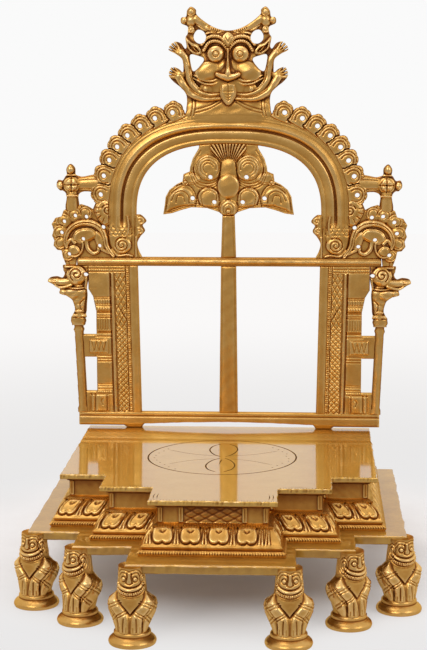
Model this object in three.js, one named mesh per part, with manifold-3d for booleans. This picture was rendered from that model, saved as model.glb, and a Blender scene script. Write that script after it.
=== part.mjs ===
// A South Indian brass deity throne: a stepped, lotus-moulded base on eight legs cast as squatting
// lions, with a lift-out openwork back (a window frame, two makaras, an arch and a lion mask).
// Millimetres. X is to the right, Y to the back, Z up. The origin is on the floor under the base.
import * as THREE from "three";
import { mergeVertices } from "three/addons/utils/BufferGeometryUtils.js";
import Module from "manifold-3d";

const wasm = await Module();
wasm.setup();

// Gap kept between pieces that meet along a curved or slanting edge
const SEAM = 0.3;

// Plan of the plinth's neck: half widths and distances forward of the origin of its three steps
const NECK_HALF = [37.5, 74.5, 107];
const NECK_FRONT = [101.5, 65.5, 31.5];
const NECK_BACK = 129.5;
const NECK_WALL = 3.5;

// Legs: a turned foot with a squatting lion on it, whose axis stands inside the plate's corner
const FOOT_HEIGHT = 10;
const FOOT_RADIUS = 16.2;
const FOOT_RING_RADIUS = 13;
const FOOT_TOP_RADIUS = 10.4;
const FOOT_DISC_HEIGHT = 5;
const FOOT_SIDES = 14;
const LION_HEIGHT = 39;
const LION_DRAWN_HEIGHT = 39;
const LEG_INSET_SIDE = 4.5;
const LEG_INSET_SIDE_AT_BACK = 10.5;
const LEG_INSET_FRONT = 6;
const LEG_INSET_BACK = 6.7;
const SPIGOT_RADIUS = 2.2;
const SPIGOT_LENGTH = 3;

// Lower plate: its ledge beyond the neck at each step, and its thickness
const LEDGE_SIDE = [19, 22.5, 26];
const LEDGE_FRONT = [36, 30.5, 29.5];
const LEDGE_BACK = 9;
const LOWER_PLATE_BOTTOM = FOOT_HEIGHT + LION_HEIGHT;
const LOWER_PLATE_THICKNESS = 6;
const LOWER_PLATE_TOP = LOWER_PLATE_BOTTOM + LOWER_PLATE_THICKNESS;

// Plinth mouldings up to the neck: offsets from the neck at the side, front and back, and the rise
const MOULDINGS = [
  [11.5, 15.5, 5, 0],
  [12.3, 16.3, 5.8, 1.4],
  [11.2, 15.2, 5, 3.6],
  [9.2, 12.8, 4.2, 4],
  [10, 13.6, 4.8, 6],
  [8.6, 12.2, 4, 7.4],
  [2.4, 3.4, 1.4, 16.6],
  [3.6, 4.4, 1.8, 18],
];
const MOULDINGS_HEIGHT = 19.4;
const NECK_HEIGHT = 12.6;
const NECK_CORNICE = 1.6;
const NECK_CORNICE_HEIGHT = 2.2;
const SLAB_BOTTOM = LOWER_PLATE_TOP + MOULDINGS_HEIGHT + NECK_HEIGHT;
const SLAB_THICKNESS = 3.5;
const SLAB_TOP = SLAB_BOTTOM + SLAB_THICKNESS;
const SLAB_OVERHANG_SIDE = 6.2;
const SLAB_OVERHANG_FRONT = 5;
const SLAB_OVERHANG_BACK = 1.5;

// Circle engraved on the slab, inside which the image stands
const CIRCLE_Y = 23.9;
const CIRCLE_RADIUS = 55.2;
const CIRCLE_WIDTH = 0.8;
const CIRCLE_DEPTH = 0.4;
const CIRCLE_SIDES = 48;

// Upright strips at the corners of the neck, and those that flank its middle panel
const STRIP_WIDTH = 3.2;
const STRIP_RELIEF = 0.9;
const PANEL_HALF = 20;

// Back: its sheet, and the mouldings that stand in front of it
const SHEET_SETBACK = 1.3;
const SHEET_THICKNESS = 4;
const SHEET_BACK = NECK_BACK - SHEET_SETBACK;
const SHEET_FRONT = SHEET_BACK - SHEET_THICKNESS;
const BAR_RELIEF = 1.2;
const PILASTER_RELIEF = 1;
const BLOCK_RELIEF = 2;
const COLUMN_RELIEF = 2;
const CAPITAL_RELIEF = 3;

// Window frame
const SILL_HEIGHT = 12.5;
const SILL_LIFT = 2;
const SILL_BOW = 3.3;
const SILL_TOP = SLAB_TOP + SILL_HEIGHT;
const WINDOW_HEIGHT = 118.5;
const TRANSOM_BOTTOM = SILL_TOP + WINDOW_HEIGHT;
const TRANSOM_HEIGHT = 7;
const TRANSOM_TOP = TRANSOM_BOTTOM + TRANSOM_HEIGHT;
const JAMB_INNER = 70;
const JAMB_WIDTH = 9.5;
const JAMB_LEAN = 0.02;
const LATTICE_WIDTH = 11.5;
const PILASTER_WIDTH = 14.8;
const PILASTER_INNER = JAMB_INNER + JAMB_WIDTH + LATTICE_WIDTH;
const PILASTER_OUTER = PILASTER_INNER + PILASTER_WIDTH;
const PILASTER_HEAD_FLARE = 6;
const BLOCK_FLARE = 5;
const SIDE_WINDOW_WIDTH = 8;
const COLUMN_INNER = PILASTER_OUTER + SIDE_WINDOW_WIDTH;
const COLUMN_WIDTH = 6.8;
const COLUMN_LEAN = 0.042;
const COLUMN_HEIGHT = 71;
const CAPITAL_HEIGHT = 6;
const CAPITAL_OVERHANG = 2.2;
const CAPITAL_BOTTOM = SILL_TOP + COLUMN_HEIGHT;
const CAPITAL_TOP = CAPITAL_BOTTOM + CAPITAL_HEIGHT;
const FRAME_HALF = COLUMN_INNER + COLUMN_WIDTH;
const LOWER_WINDOW = [17, 45];
const UPPER_WINDOW = [63, 100];
const MULLION_FOOT_HALF = 7.4;
const MULLION_MIDDLE_HALF = 6;
const MULLION_HEAD_HALF = 4.8;
const YALI_DRAWN_HEIGHT = 41.5;

// Tenons under the sill's two feet, and the socket pads that take them under the slab
const SILL_FOOT_WIDTH = 12;
const TENON_X = JAMB_INNER + SILL_FOOT_WIDTH / 2;
const TENON_WIDTH = 9;
const TENON_THICKNESS = 2.6;
const TENON_LENGTH = 15;
const TENON_PLAY = 0.25;
const TENON_Y = (SHEET_FRONT + SHEET_BACK) / 2;
const PAD_WALL = 3;
const PAD_BELOW_TENON = 1.5;

// Arch: a superellipse, and the widths of its mouldings outward from its inner edge
const BRACKET_HEIGHT = 33.5;
const BRACKET_WIDTH = 9;
const ARCH_SPRING = TRANSOM_TOP + BRACKET_HEIGHT;
const ARCH_SETBACK = 3;
const ARCH_HALF = JAMB_INNER + ARCH_SETBACK;
const ARCH_RISE = 56;
const ARCH_POWER = 2.6;
const ARCH_BAND = 22;
const LIP_WIDTH = 5.4;
const ROLL_INNER = 9;
const ROLL_OUTER = 17.5;
const ROLL_RELIEF = 4.5;
const ROLL_BEVEL = 2.4;
const ARCH_STEPS = 20;
const ARCH_EDGE_HALF = ARCH_HALF + ARCH_BAND;
const ARCH_TOP = ARCH_SPRING + ARCH_RISE + ARCH_BAND;

// Flame leaves outside the arch band
const LEAF_COUNT = 8;
const LEAF_STRIP = 5;
const LEAF_LENGTH = 14.5;
const LEAF_HALF = 6.6;
const LEAF_HOLE_RADIUS = 1.5;
const LEAF_HOLE_HEIGHT = 7.6;
const LEAF_RELIEF = 1.6;
const LEAF_FIRST = 0.34;
const LEAF_LAST = 1.45;
const LEAF_MARGIN = 0.07;
const HOLE_SIDES = 6;

// Depth front to back of the tools that cut right through the back
const REACH = 60;

const castBrass = new THREE.MeshStandardMaterial({ color: 0xb5813f, roughness: 0.36, metalness: 1 });
const polishedBrass = new THREE.MeshStandardMaterial({ color: 0xc29049, roughness: 0.18, metalness: 1 });

const throne = new THREE.Group();
const base = new THREE.Group();
const back = new THREE.Group();
throne.add(base, back);

// Solids

function solid(geometry) {
  const bare = new THREE.BufferGeometry();
  bare.setAttribute("position", geometry.getAttribute("position"));
  bare.setIndex(geometry.index);
  const merged = mergeVertices(bare, 1e-4);
  return new wasm.Manifold(
    new wasm.Mesh({
      numProp: 3,
      vertProperties: merged.getAttribute("position").array,
      triVerts: new Uint32Array(merged.index.array),
    }),
  );
}

function join(pieces) {
  return pieces.reduce((all, piece) => all.add(piece));
}

function cut(piece, tools) {
  return tools.reduce((left, tool) => left.subtract(tool), piece);
}

function addNode(group, name, made, material = castBrass) {
  const { vertProperties, triVerts } = made.getMesh();
  const geometry = new THREE.BufferGeometry();
  geometry.setAttribute("position", new THREE.BufferAttribute(vertProperties, 3));
  geometry.setIndex(new THREE.BufferAttribute(triVerts, 1));
  geometry.computeVertexNormals();
  const mesh = new THREE.Mesh(geometry, material);
  mesh.name = name;
  group.add(mesh);
}

function box(x0, x1, y0, y1, z0, z1) {
  const geometry = new THREE.BoxGeometry(x1 - x0, y1 - y0, z1 - z0);
  geometry.translate((x0 + x1) / 2, (y0 + y1) / 2, (z0 + z1) / 2);
  return solid(geometry);
}

function cylinder(x, y, z0, z1, radius, sides) {
  const geometry = new THREE.CylinderGeometry(radius, radius, z1 - z0, sides);
  geometry.rotateX(Math.PI / 2);
  geometry.translate(x, y, (z0 + z1) / 2);
  return solid(geometry);
}

function ellipsoid(centre, radii, around = 7, along = 5) {
  const geometry = new THREE.SphereGeometry(1, around, along);
  geometry.rotateX(Math.PI / 2);
  geometry.scale(...radii);
  geometry.translate(...centre);
  return solid(geometry);
}

function capsule(from, to, radius, sides = 6) {
  const start = new THREE.Vector3(...from);
  const end = new THREE.Vector3(...to);
  const run = end.clone().sub(start);
  const geometry = new THREE.CapsuleGeometry(radius, run.length(), 1, sides);
  const turn = new THREE.Quaternion().setFromUnitVectors(new THREE.Vector3(0, 1, 0), run.normalize());
  geometry.applyQuaternion(turn);
  geometry.translate(...start.add(end).multiplyScalar(0.5));
  return solid(geometry);
}

// Outlines. One of the base is drawn in X and Y, and one of the back in X and Z.

function outline(points) {
  return new THREE.Shape(points.map(([x, z]) => new THREE.Vector2(x, z)));
}

function mirrored(side, points) {
  return points.map(([x, z]) => [side * x, z]);
}

// A whole outline from its right half, which starts at the bottom and ends at the top.
function bothSides(right) {
  return [...right, ...mirrored(-1, right).reverse()];
}

// Moves a drawing to its place on one side of the back.
function placed(side, x, z, points) {
  return mirrored(
    side,
    points.map(([dx, dz]) => [x + dx, z + dz]),
  );
}

// A band that follows a path, with a half width at each of the path's points.
function ribbon(path, halfWidths, steps) {
  const middle = new THREE.CatmullRomCurve3(path.map(([x, z]) => new THREE.Vector3(x, z, 0)));
  const left = [];
  const right = [];
  for (let i = 0; i <= steps; i++) {
    const t = i / steps;
    const at = middle.getPoint(t);
    const along = middle.getTangent(t);
    const place = t * (halfWidths.length - 1);
    const low = Math.min(Math.floor(place), halfWidths.length - 2);
    const half = halfWidths[low] + (halfWidths[low + 1] - halfWidths[low]) * (place - low);
    left.push([at.x - along.y * half, at.y + along.x * half]);
    right.unshift([at.x + along.y * half, at.y - along.x * half]);
  }
  return outline([...left, ...right]);
}

// A piece of the back, cut from sheet that stands from a front to a rear distance.
function sheet(shape, front = SHEET_FRONT, rear = SHEET_BACK) {
  const geometry = new THREE.ExtrudeGeometry(shape, {
    depth: rear - front,
    bevelEnabled: false,
    curveSegments: HOLE_SIDES,
  });
  geometry.rotateX(Math.PI / 2);
  geometry.translate(0, rear, 0);
  return solid(geometry);
}

function rectangle(x0, x1, z0, z1) {
  return outline([
    [x0, z0],
    [x1, z0],
    [x1, z1],
    [x0, z1],
  ]);
}

// Tools that run right through the back.
function through(shape) {
  return sheet(shape, SHEET_FRONT - REACH, SHEET_BACK + REACH);
}

function throughHole([x, z], radius) {
  const shape = new THREE.Shape();
  shape.absarc(x, z, radius, 0, 2 * Math.PI);
  return through(shape);
}

// Everything behind the sheet, which figures modelled in the round are cut flat by.
function behindSheet() {
  return sheet(rectangle(-FRAME_HALF * 2, FRAME_HALF * 2, 0, ARCH_TOP * 2), SHEET_BACK, SHEET_BACK + REACH);
}

function lying(shape, z0, z1) {
  const geometry = new THREE.ExtrudeGeometry(shape, { depth: z1 - z0, bevelEnabled: false });
  geometry.translate(0, 0, z0);
  return solid(geometry);
}

// The stepped plan of the base: the neck's plan, moved out by an amount at each step.
function steppedPlan(sides, fronts, rear) {
  const half = NECK_HALF.map((h, i) => h + sides[i]);
  const front = NECK_FRONT.map((f, i) => -(f + fronts[i]));
  const left = [
    [-half[2], NECK_BACK + rear],
    [-half[2], front[2]],
    [-half[1], front[2]],
    [-half[1], front[1]],
    [-half[0], front[1]],
    [-half[0], front[0]],
  ];
  return [...left, ...mirrored(-1, left).reverse()];
}

function evenPlan(side, front, rear) {
  return steppedPlan([side, side, side], [front, front, front], rear);
}

// A body whose outline changes from level to level, with the same corners at each.
function lofted(plans, heights) {
  const corners = plans[0].length;
  const positions = plans.flatMap((plan, i) => plan.flatMap(([x, y]) => [x, y, heights[i]]));
  const index = [];
  for (let level = 0; level < plans.length - 1; level++) {
    for (let i = 0; i < corners; i++) {
      const a = level * corners + i;
      const b = level * corners + ((i + 1) % corners);
      index.push(a, b, b + corners, a, b + corners, a + corners);
    }
  }
  const last = (plans.length - 1) * corners;
  const ends = plans[0].map(([x, y]) => new THREE.Vector2(x, y));
  for (const [a, b, c] of THREE.ShapeUtils.triangulateShape(ends, [])) {
    index.push(a, c, b);
    index.push(last + a, last + b, last + c);
  }
  const geometry = new THREE.BufferGeometry();
  geometry.setAttribute("position", new THREE.Float32BufferAttribute(positions, 3));
  geometry.setIndex(index);
  return solid(geometry);
}

// Base

function lowerPlatePlan(grow = 0) {
  const more = (list) => list.map((value) => value + grow);
  return steppedPlan(more(LEDGE_SIDE), more(LEDGE_FRONT), LEDGE_BACK + grow);
}

function hollow(z0, z1) {
  return lying(outline(evenPlan(-NECK_WALL, -NECK_WALL, -NECK_WALL)), z0, z1);
}

function tenonSlot(side, z0, z1) {
  const halfWidth = TENON_WIDTH / 2 + TENON_PLAY;
  const halfDepth = TENON_THICKNESS / 2 + TENON_PLAY;
  const x = side * TENON_X;
  return box(x - halfWidth, x + halfWidth, TENON_Y - halfDepth, TENON_Y + halfDepth, z0, z1);
}

// The legs' places: name, step, side, whether it is at the back, and the way that it faces in degrees
const LEGS = [
  ["front_left", 0, -1, false, -4],
  ["front_right", 0, 1, false, 4],
  ["middle_left", 1, -1, false, -38],
  ["middle_right", 1, 1, false, 38],
  ["side_left", 2, -1, false, -24],
  ["side_right", 2, 1, false, 24],
  ["back_left", 2, -1, true, -140],
  ["back_right", 2, 1, true, 140],
].map(([name, step, side, atBack, facing]) => ({
  name,
  facing: THREE.MathUtils.degToRad(facing),
  x: side * (NECK_HALF[step] + LEDGE_SIDE[step] - (atBack ? LEG_INSET_SIDE_AT_BACK : LEG_INSET_SIDE)),
  y: atBack
    ? NECK_BACK + LEDGE_BACK - LEG_INSET_BACK
    : -(NECK_FRONT[step] + LEDGE_FRONT[step] - LEG_INSET_FRONT),
}));

function buildLowerPlate() {
  const plate = lying(outline(lowerPlatePlan()), LOWER_PLATE_BOTTOM, LOWER_PLATE_TOP);
  const holeBottom = LOWER_PLATE_BOTTOM - 1;
  const holeTop = LOWER_PLATE_BOTTOM + SPIGOT_LENGTH + SEAM;
  const holes = LEGS.map(({ x, y }) => cylinder(x, y, holeBottom, holeTop, SPIGOT_RADIUS + SEAM, 8));
  const open = hollow(LOWER_PLATE_BOTTOM - 1, LOWER_PLATE_TOP + 1);
  addNode(base, "lower_plate", cut(plate, [open, ...holes]), polishedBrass);
}

// Strips on the neck's front faces: one at each outer corner, and two beside the middle panel.
function neckStrips() {
  const low = LOWER_PLATE_TOP + MOULDINGS_HEIGHT - 0.4;
  const high = SLAB_BOTTOM - NECK_CORNICE_HEIGHT + 0.4;
  const strips = [];
  NECK_HALF.forEach((half, step) => {
    const front = -NECK_FRONT[step];
    const starts = step === 0 ? [half - STRIP_WIDTH, PANEL_HALF] : [half - STRIP_WIDTH];
    for (const start of starts) {
      for (const side of [-1, 1]) {
        const x0 = side > 0 ? start : -start - STRIP_WIDTH;
        strips.push(box(x0, x0 + STRIP_WIDTH, front - STRIP_RELIEF, front + 1, low, high));
      }
    }
  });
  return strips;
}

function buildPlinth() {
  const neckBottom = LOWER_PLATE_TOP + MOULDINGS_HEIGHT;
  const levels = [
    ...MOULDINGS.map(([side, front, rear, rise]) => [side, front, rear, LOWER_PLATE_TOP + rise]),
    [0, 0, 0, neckBottom],
    [0, 0, 0, SLAB_BOTTOM - NECK_CORNICE_HEIGHT],
    [NECK_CORNICE, NECK_CORNICE, NECK_CORNICE, SLAB_BOTTOM - NECK_CORNICE_HEIGHT / 2],
    [NECK_CORNICE, NECK_CORNICE, NECK_CORNICE, SLAB_BOTTOM],
  ];
  const plans = levels.map(([side, front, rear]) => evenPlan(side, front, rear));
  const body = lofted(
    plans,
    levels.map((level) => level[3]),
  );
  const shell = cut(join([body, ...neckStrips()]), [hollow(LOWER_PLATE_TOP - 1, SLAB_BOTTOM + 1)]);
  const padBottom = SLAB_TOP - TENON_LENGTH - PAD_BELOW_TENON;
  const padHalf = TENON_WIDTH / 2 + TENON_PLAY + PAD_WALL;
  const padFront = TENON_Y - TENON_THICKNESS / 2 - TENON_PLAY - PAD_WALL;
  const padBack = NECK_BACK - NECK_WALL / 4;
  const sides = [-1, 1];
  const pads = sides.map((side) => {
    const x = side * TENON_X;
    return box(x - padHalf, x + padHalf, padFront, padBack, padBottom, SLAB_BOTTOM);
  });
  const slots = sides.map((side) => tenonSlot(side, padBottom - 1, SLAB_BOTTOM + 1));
  addNode(base, "lotus_plinth", cut(join([shell, ...pads]), slots));
}

function buildSlab() {
  const plan = evenPlan(SLAB_OVERHANG_SIDE, SLAB_OVERHANG_FRONT, SLAB_OVERHANG_BACK);
  const slab = lying(outline(plan), SLAB_BOTTOM, SLAB_TOP);
  const slots = [-1, 1].map((side) => tenonSlot(side, SLAB_BOTTOM - 1, SLAB_TOP + 1));
  const [outer, inner] = [1, -1].map((side) => {
    const radius = CIRCLE_RADIUS + (side * CIRCLE_WIDTH) / 2;
    return cylinder(0, CIRCLE_Y, SLAB_TOP - CIRCLE_DEPTH, SLAB_TOP + 1, radius, CIRCLE_SIDES);
  });
  addNode(base, "seat_slab", cut(slab, [...slots, outer.subtract(inner)]), polishedBrass);
}

// A turned foot: a round-edged disc, and a smaller domed ring on it.
function footSolid() {
  const edge = FOOT_DISC_HEIGHT / 3;
  const profile = [
    [0, 0],
    [FOOT_RADIUS - edge / 2, 0],
    [FOOT_RADIUS, 1.5 * edge],
    [FOOT_RADIUS - edge, FOOT_DISC_HEIGHT],
    [FOOT_RING_RADIUS, FOOT_DISC_HEIGHT + edge],
    [FOOT_TOP_RADIUS, FOOT_HEIGHT],
    [0, FOOT_HEIGHT],
  ];
  const points = profile.map(([radius, z]) => new THREE.Vector2(radius, z));
  const geometry = new THREE.LatheGeometry(points, FOOT_SIDES);
  geometry.rotateX(Math.PI / 2);
  return solid(geometry);
}

// A squatting lion that looks along -Y, with its forelegs and hind legs at its sides. It is drawn
// from the foot's top up, and fitted to its height.
function lionSolid() {
  const pieces = [
    ellipsoid([0, 1, 14], [11.5, 9, 17], 7, 4),
    ellipsoid([0, -3.4, 32.6], [9.6, 9.4, 11], 8, 5),
    ellipsoid([0, -10.2, 28.6], [6, 4.8, 4.6], 6, 4),
    box(-7, 7, -4, 8, -1, LION_DRAWN_HEIGHT + 4),
  ];
  for (const side of [-1, 1]) {
    pieces.push(
      capsule([side * 10.6, -3.5, 20.4], [side * 3.6, -9.6, 3], 3.6, 5),
      capsule([side * 12.6, 0, 14.6], [side * 9, -5, 2], 3.6, 5),
    );
  }
  const scale = LION_HEIGHT / LION_DRAWN_HEIGHT;
  const ground = box(-LION_HEIGHT, LION_HEIGHT, -LION_HEIGHT, LION_HEIGHT, -LION_HEIGHT, 0);
  return join(pieces).scale(scale).subtract(ground).translate(0, 0, FOOT_HEIGHT);
}

function buildLegs() {
  const spigotTop = LOWER_PLATE_BOTTOM + SPIGOT_LENGTH;
  const plateSpace = lying(
    outline(lowerPlatePlan(SEAM)),
    LOWER_PLATE_BOTTOM,
    LOWER_PLATE_TOP + LION_HEIGHT,
  );
  const leg = join([lionSolid(), footSolid()]);
  for (const { name, x, y, facing } of LEGS) {
    const place = new THREE.Matrix4().makeRotationZ(facing).setPosition(x, y, 0);
    const figure = leg.transform(place.elements).subtract(plateSpace);
    const spigot = cylinder(x, y, LOWER_PLATE_BOTTOM - 3, spigotTop, SPIGOT_RADIUS, 8);
    addNode(base, `leg_${name}`, figure.add(spigot));
  }
}

// Window frame

const jambInner = (z) => JAMB_INNER + JAMB_LEAN * (z - SILL_TOP);
const jambOuter = (z) => jambInner(z) + JAMB_WIDTH;
const columnInner = (z) => COLUMN_INNER + COLUMN_LEAN * (z - SILL_TOP);
const columnOuter = (z) => columnInner(z) + COLUMN_WIDTH;

function buildSill() {
  const footInner = TENON_X - SILL_FOOT_WIDTH / 2;
  const footOuter = TENON_X + SILL_FOOT_WIDTH / 2;
  const low = SLAB_TOP + SILL_LIFT;
  const right = [
    [0, low + SILL_BOW],
    [footInner / 2, low + SILL_BOW * 0.8],
    [footInner - SILL_LIFT, low + SILL_BOW * 0.4],
    [footInner, SLAB_TOP],
    [footOuter, SLAB_TOP],
    [footOuter + SILL_LIFT, low],
    [FRAME_HALF, low],
    [FRAME_HALF, SILL_TOP],
  ];
  const whole = [...mirrored(-1, right.slice(1)).reverse(), ...right];
  const rail = rectangle(-FRAME_HALF, FRAME_HALF, low + SILL_BOW, SILL_TOP - SILL_LIFT);
  const tenons = [-1, 1].map((side) => {
    const x = side * TENON_X;
    return box(
      x - TENON_WIDTH / 2,
      x + TENON_WIDTH / 2,
      TENON_Y - TENON_THICKNESS / 2,
      TENON_Y + TENON_THICKNESS / 2,
      SLAB_TOP - TENON_LENGTH,
      SLAB_TOP + SILL_LIFT,
    );
  });
  addNode(back, "sill", join([sheet(outline(whole)), sheet(rail, SHEET_FRONT - BAR_RELIEF), ...tenons]));
}

function buildTransom() {
  const flat = sheet(rectangle(-FRAME_HALF, FRAME_HALF, TRANSOM_BOTTOM, TRANSOM_TOP));
  const margin = TRANSOM_HEIGHT / 4;
  const fillet = rectangle(-FRAME_HALF, FRAME_HALF, TRANSOM_BOTTOM + margin, TRANSOM_TOP - margin);
  addNode(back, "transom", flat.add(sheet(fillet, SHEET_FRONT - BAR_RELIEF)));
}

function buildMullion(name, z0, half0, z1, half1) {
  const bar = bothSides([
    [half0, z0],
    [half1, z1],
  ]);
  addNode(back, name, sheet(outline(bar), SHEET_FRONT - BAR_RELIEF));
}

function buildJamb(side, name) {
  const jamb = mirrored(side, [
    [jambInner(SILL_TOP), SILL_TOP],
    [jambOuter(SILL_TOP), SILL_TOP],
    [jambOuter(TRANSOM_BOTTOM), TRANSOM_BOTTOM],
    [jambInner(TRANSOM_BOTTOM), TRANSOM_BOTTOM],
  ]);
  addNode(back, `jamb_${name}`, sheet(outline(jamb), SHEET_FRONT - BAR_RELIEF));
}

// The panel beside the jamb: a sunk lattice strip, then a pilaster with two windows at its edge.
function buildPanel(side, name) {
  const inner = (z) => [jambOuter(z) + SEAM, z];
  const edge = (z) => [columnInner(z) - SEAM, z];
  const [low0, low1] = LOWER_WINDOW.map((rise) => SILL_TOP + rise);
  const [high0, high1] = UPPER_WINDOW.map((rise) => SILL_TOP + rise);
  const head = PILASTER_OUTER + PILASTER_HEAD_FLARE;
  const outer = mirrored(side, [
    inner(SILL_TOP),
    edge(SILL_TOP),
    edge(low0),
    [PILASTER_OUTER, low0],
    [PILASTER_OUTER, low1],
    edge(low1),
    edge(high0),
    [PILASTER_OUTER, high0],
    [PILASTER_OUTER, high1 - 3 * PILASTER_HEAD_FLARE],
    [PILASTER_OUTER + PILASTER_HEAD_FLARE / 3, high1 - PILASTER_HEAD_FLARE],
    [head, high1],
    [head, TRANSOM_BOTTOM],
    inner(TRANSOM_BOTTOM),
  ]);
  const raised = (extra, z0, z1, relief) => {
    const ends = [side * (PILASTER_INNER + 2), side * (PILASTER_OUTER + extra)];
    ends.sort((a, b) => a - b);
    return box(ends[0], ends[1], SHEET_FRONT - relief, SHEET_FRONT + 1, z0, z1);
  };
  const panel = join([
    sheet(outline(outer)),
    raised(0, SILL_TOP, TRANSOM_BOTTOM, PILASTER_RELIEF),
    raised(BLOCK_FLARE, SILL_TOP, low0 - SILL_LIFT, BLOCK_RELIEF),
    raised(BLOCK_FLARE, low1 + SILL_LIFT, high0 - SILL_LIFT, BLOCK_RELIEF),
    raised(BLOCK_FLARE, high1 + SILL_LIFT, TRANSOM_BOTTOM, BLOCK_RELIEF),
  ]);
  addNode(back, `panel_${name}`, panel);
}

function buildColumn(side, name) {
  const shaft = (inset) =>
    mirrored(side, [
      [columnInner(SILL_TOP) + inset, SILL_TOP],
      [columnOuter(SILL_TOP) - inset, SILL_TOP],
      [columnOuter(CAPITAL_BOTTOM) - inset, CAPITAL_TOP],
      [columnInner(CAPITAL_BOTTOM) + inset, CAPITAL_TOP],
    ]);
  const capital = mirrored(side, [
    [columnInner(CAPITAL_BOTTOM) - CAPITAL_OVERHANG, CAPITAL_BOTTOM],
    [columnOuter(CAPITAL_BOTTOM) + CAPITAL_OVERHANG, CAPITAL_BOTTOM],
    [columnOuter(CAPITAL_BOTTOM) + CAPITAL_OVERHANG, CAPITAL_TOP],
    [columnInner(CAPITAL_BOTTOM) - CAPITAL_OVERHANG, CAPITAL_TOP],
  ]);
  const column = join([
    sheet(outline(shaft(0))),
    sheet(outline(shaft(COLUMN_WIDTH / 4)), SHEET_FRONT - COLUMN_RELIEF),
    sheet(outline(capital), SHEET_FRONT - CAPITAL_RELIEF),
  ]);
  addNode(back, `column_${name}`, column);
}

// The beast that stands on the column's capital, under the end of the transom.
function buildYali(side, name) {
  const height = TRANSOM_BOTTOM - CAPITAL_TOP;
  const stretch = height / YALI_DRAWN_HEIGHT;
  const middle = (columnInner(CAPITAL_TOP) + columnOuter(CAPITAL_TOP)) / 2;
  const drawn = (points) =>
    placed(
      side,
      middle,
      CAPITAL_TOP,
      points.map(([x, z]) => [x, z * stretch]),
    );
  const body = drawn([
    [-3.6, 0],
    [3.6, 0],
    [4.4, 9],
    [6.5, 15],
    [13.5, 19.5],
    [19.4, 25.5],
    [20, 31],
    [16, 33.5],
    [12, 32],
    [11.4, 36],
    [12.4, YALI_DRAWN_HEIGHT],
    [-2, YALI_DRAWN_HEIGHT],
    [-7, 38],
    [-7.6, 29],
    [-6, 21],
    [-3.8, 14],
    [-4.6, 7],
  ]);
  const at = (x, z) => {
    const [[px, pz]] = drawn([[x, z]]);
    return [px, SHEET_FRONT, pz];
  };
  const yali = join([
    sheet(outline(body)),
    ellipsoid(at(1, 29), [7, 6, 8 * stretch]),
    ellipsoid(at(12.4, 26), [5.4, 4, 5 * stretch]),
    ellipsoid(at(0, 9), [3.6, 4, 8 * stretch]),
  ]);
  const panel = PILASTER_OUTER + PILASTER_HEAD_FLARE + SEAM;
  const neighbours = [
    through(rectangle(-panel, panel, 0, TRANSOM_TOP)),
    through(rectangle(-ARCH_TOP, ARCH_TOP, 0, CAPITAL_TOP)),
    through(rectangle(-ARCH_TOP, ARCH_TOP, TRANSOM_BOTTOM, ARCH_TOP)),
    behindSheet(),
  ];
  addNode(back, `yali_${name}`, cut(yali, neighbours));
}

// Arch

// A point of the arch's curve, moved outward: angle 0 is the apex and a quarter turn the springing.
function archPoint(angle, offset) {
  const power = 2 / ARCH_POWER;
  return [
    (ARCH_HALF + offset) * Math.sin(angle) ** power,
    ARCH_SPRING + (ARCH_RISE + offset) * Math.max(0, Math.cos(angle)) ** power,
  ];
}

function archCurve(offset) {
  const right = [];
  for (let i = 0; i <= ARCH_STEPS / 2; i++)
    right.push(archPoint(((i * 2) / ARCH_STEPS) * (Math.PI / 2), offset));
  right[right.length - 1][1] = ARCH_SPRING;
  return [...mirrored(-1, right.slice(1)).reverse(), ...right];
}

// The space under an arch curve, carried down to a floor.
function underArch(offset, floor) {
  const half = ARCH_HALF + offset;
  return outline([...archCurve(offset), [half, floor], [-half, floor]]);
}

function archRing(inner, outer) {
  return outline([...archCurve(outer), ...archCurve(inner).reverse()]);
}

function buildArch() {
  const band = sheet(archRing(0, ARCH_BAND));
  const lip = sheet(archRing(BAR_RELIEF, LIP_WIDTH), SHEET_FRONT - BAR_RELIEF);
  const rollGeometry = new THREE.ExtrudeGeometry(archRing(ROLL_INNER, ROLL_OUTER), {
    depth: ROLL_RELIEF - ROLL_BEVEL,
    bevelSize: ROLL_BEVEL,
    bevelOffset: -ROLL_BEVEL,
    bevelThickness: ROLL_BEVEL,
    bevelSegments: 1,
  });
  rollGeometry.rotateX(Math.PI / 2);
  rollGeometry.translate(0, SHEET_FRONT, 0);
  addNode(back, "arch", join([band, lip, solid(rollGeometry)]));
}

// The strip outside the arch band that the flame leaves stand on, to a height.
function leafStrip(side, height) {
  const first = LEAF_FIRST - LEAF_MARGIN;
  const last = LEAF_LAST + LEAF_MARGIN;
  const outer = [];
  const inner = [];
  for (let i = 0; i <= LEAF_COUNT; i++) {
    const angle = first + ((last - first) * i) / LEAF_COUNT;
    outer.push(archPoint(angle, ARCH_BAND + height));
    inner.unshift(archPoint(angle, ARCH_BAND - 1));
  }
  return outline(mirrored(side, [...outer, ...inner]));
}

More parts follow.
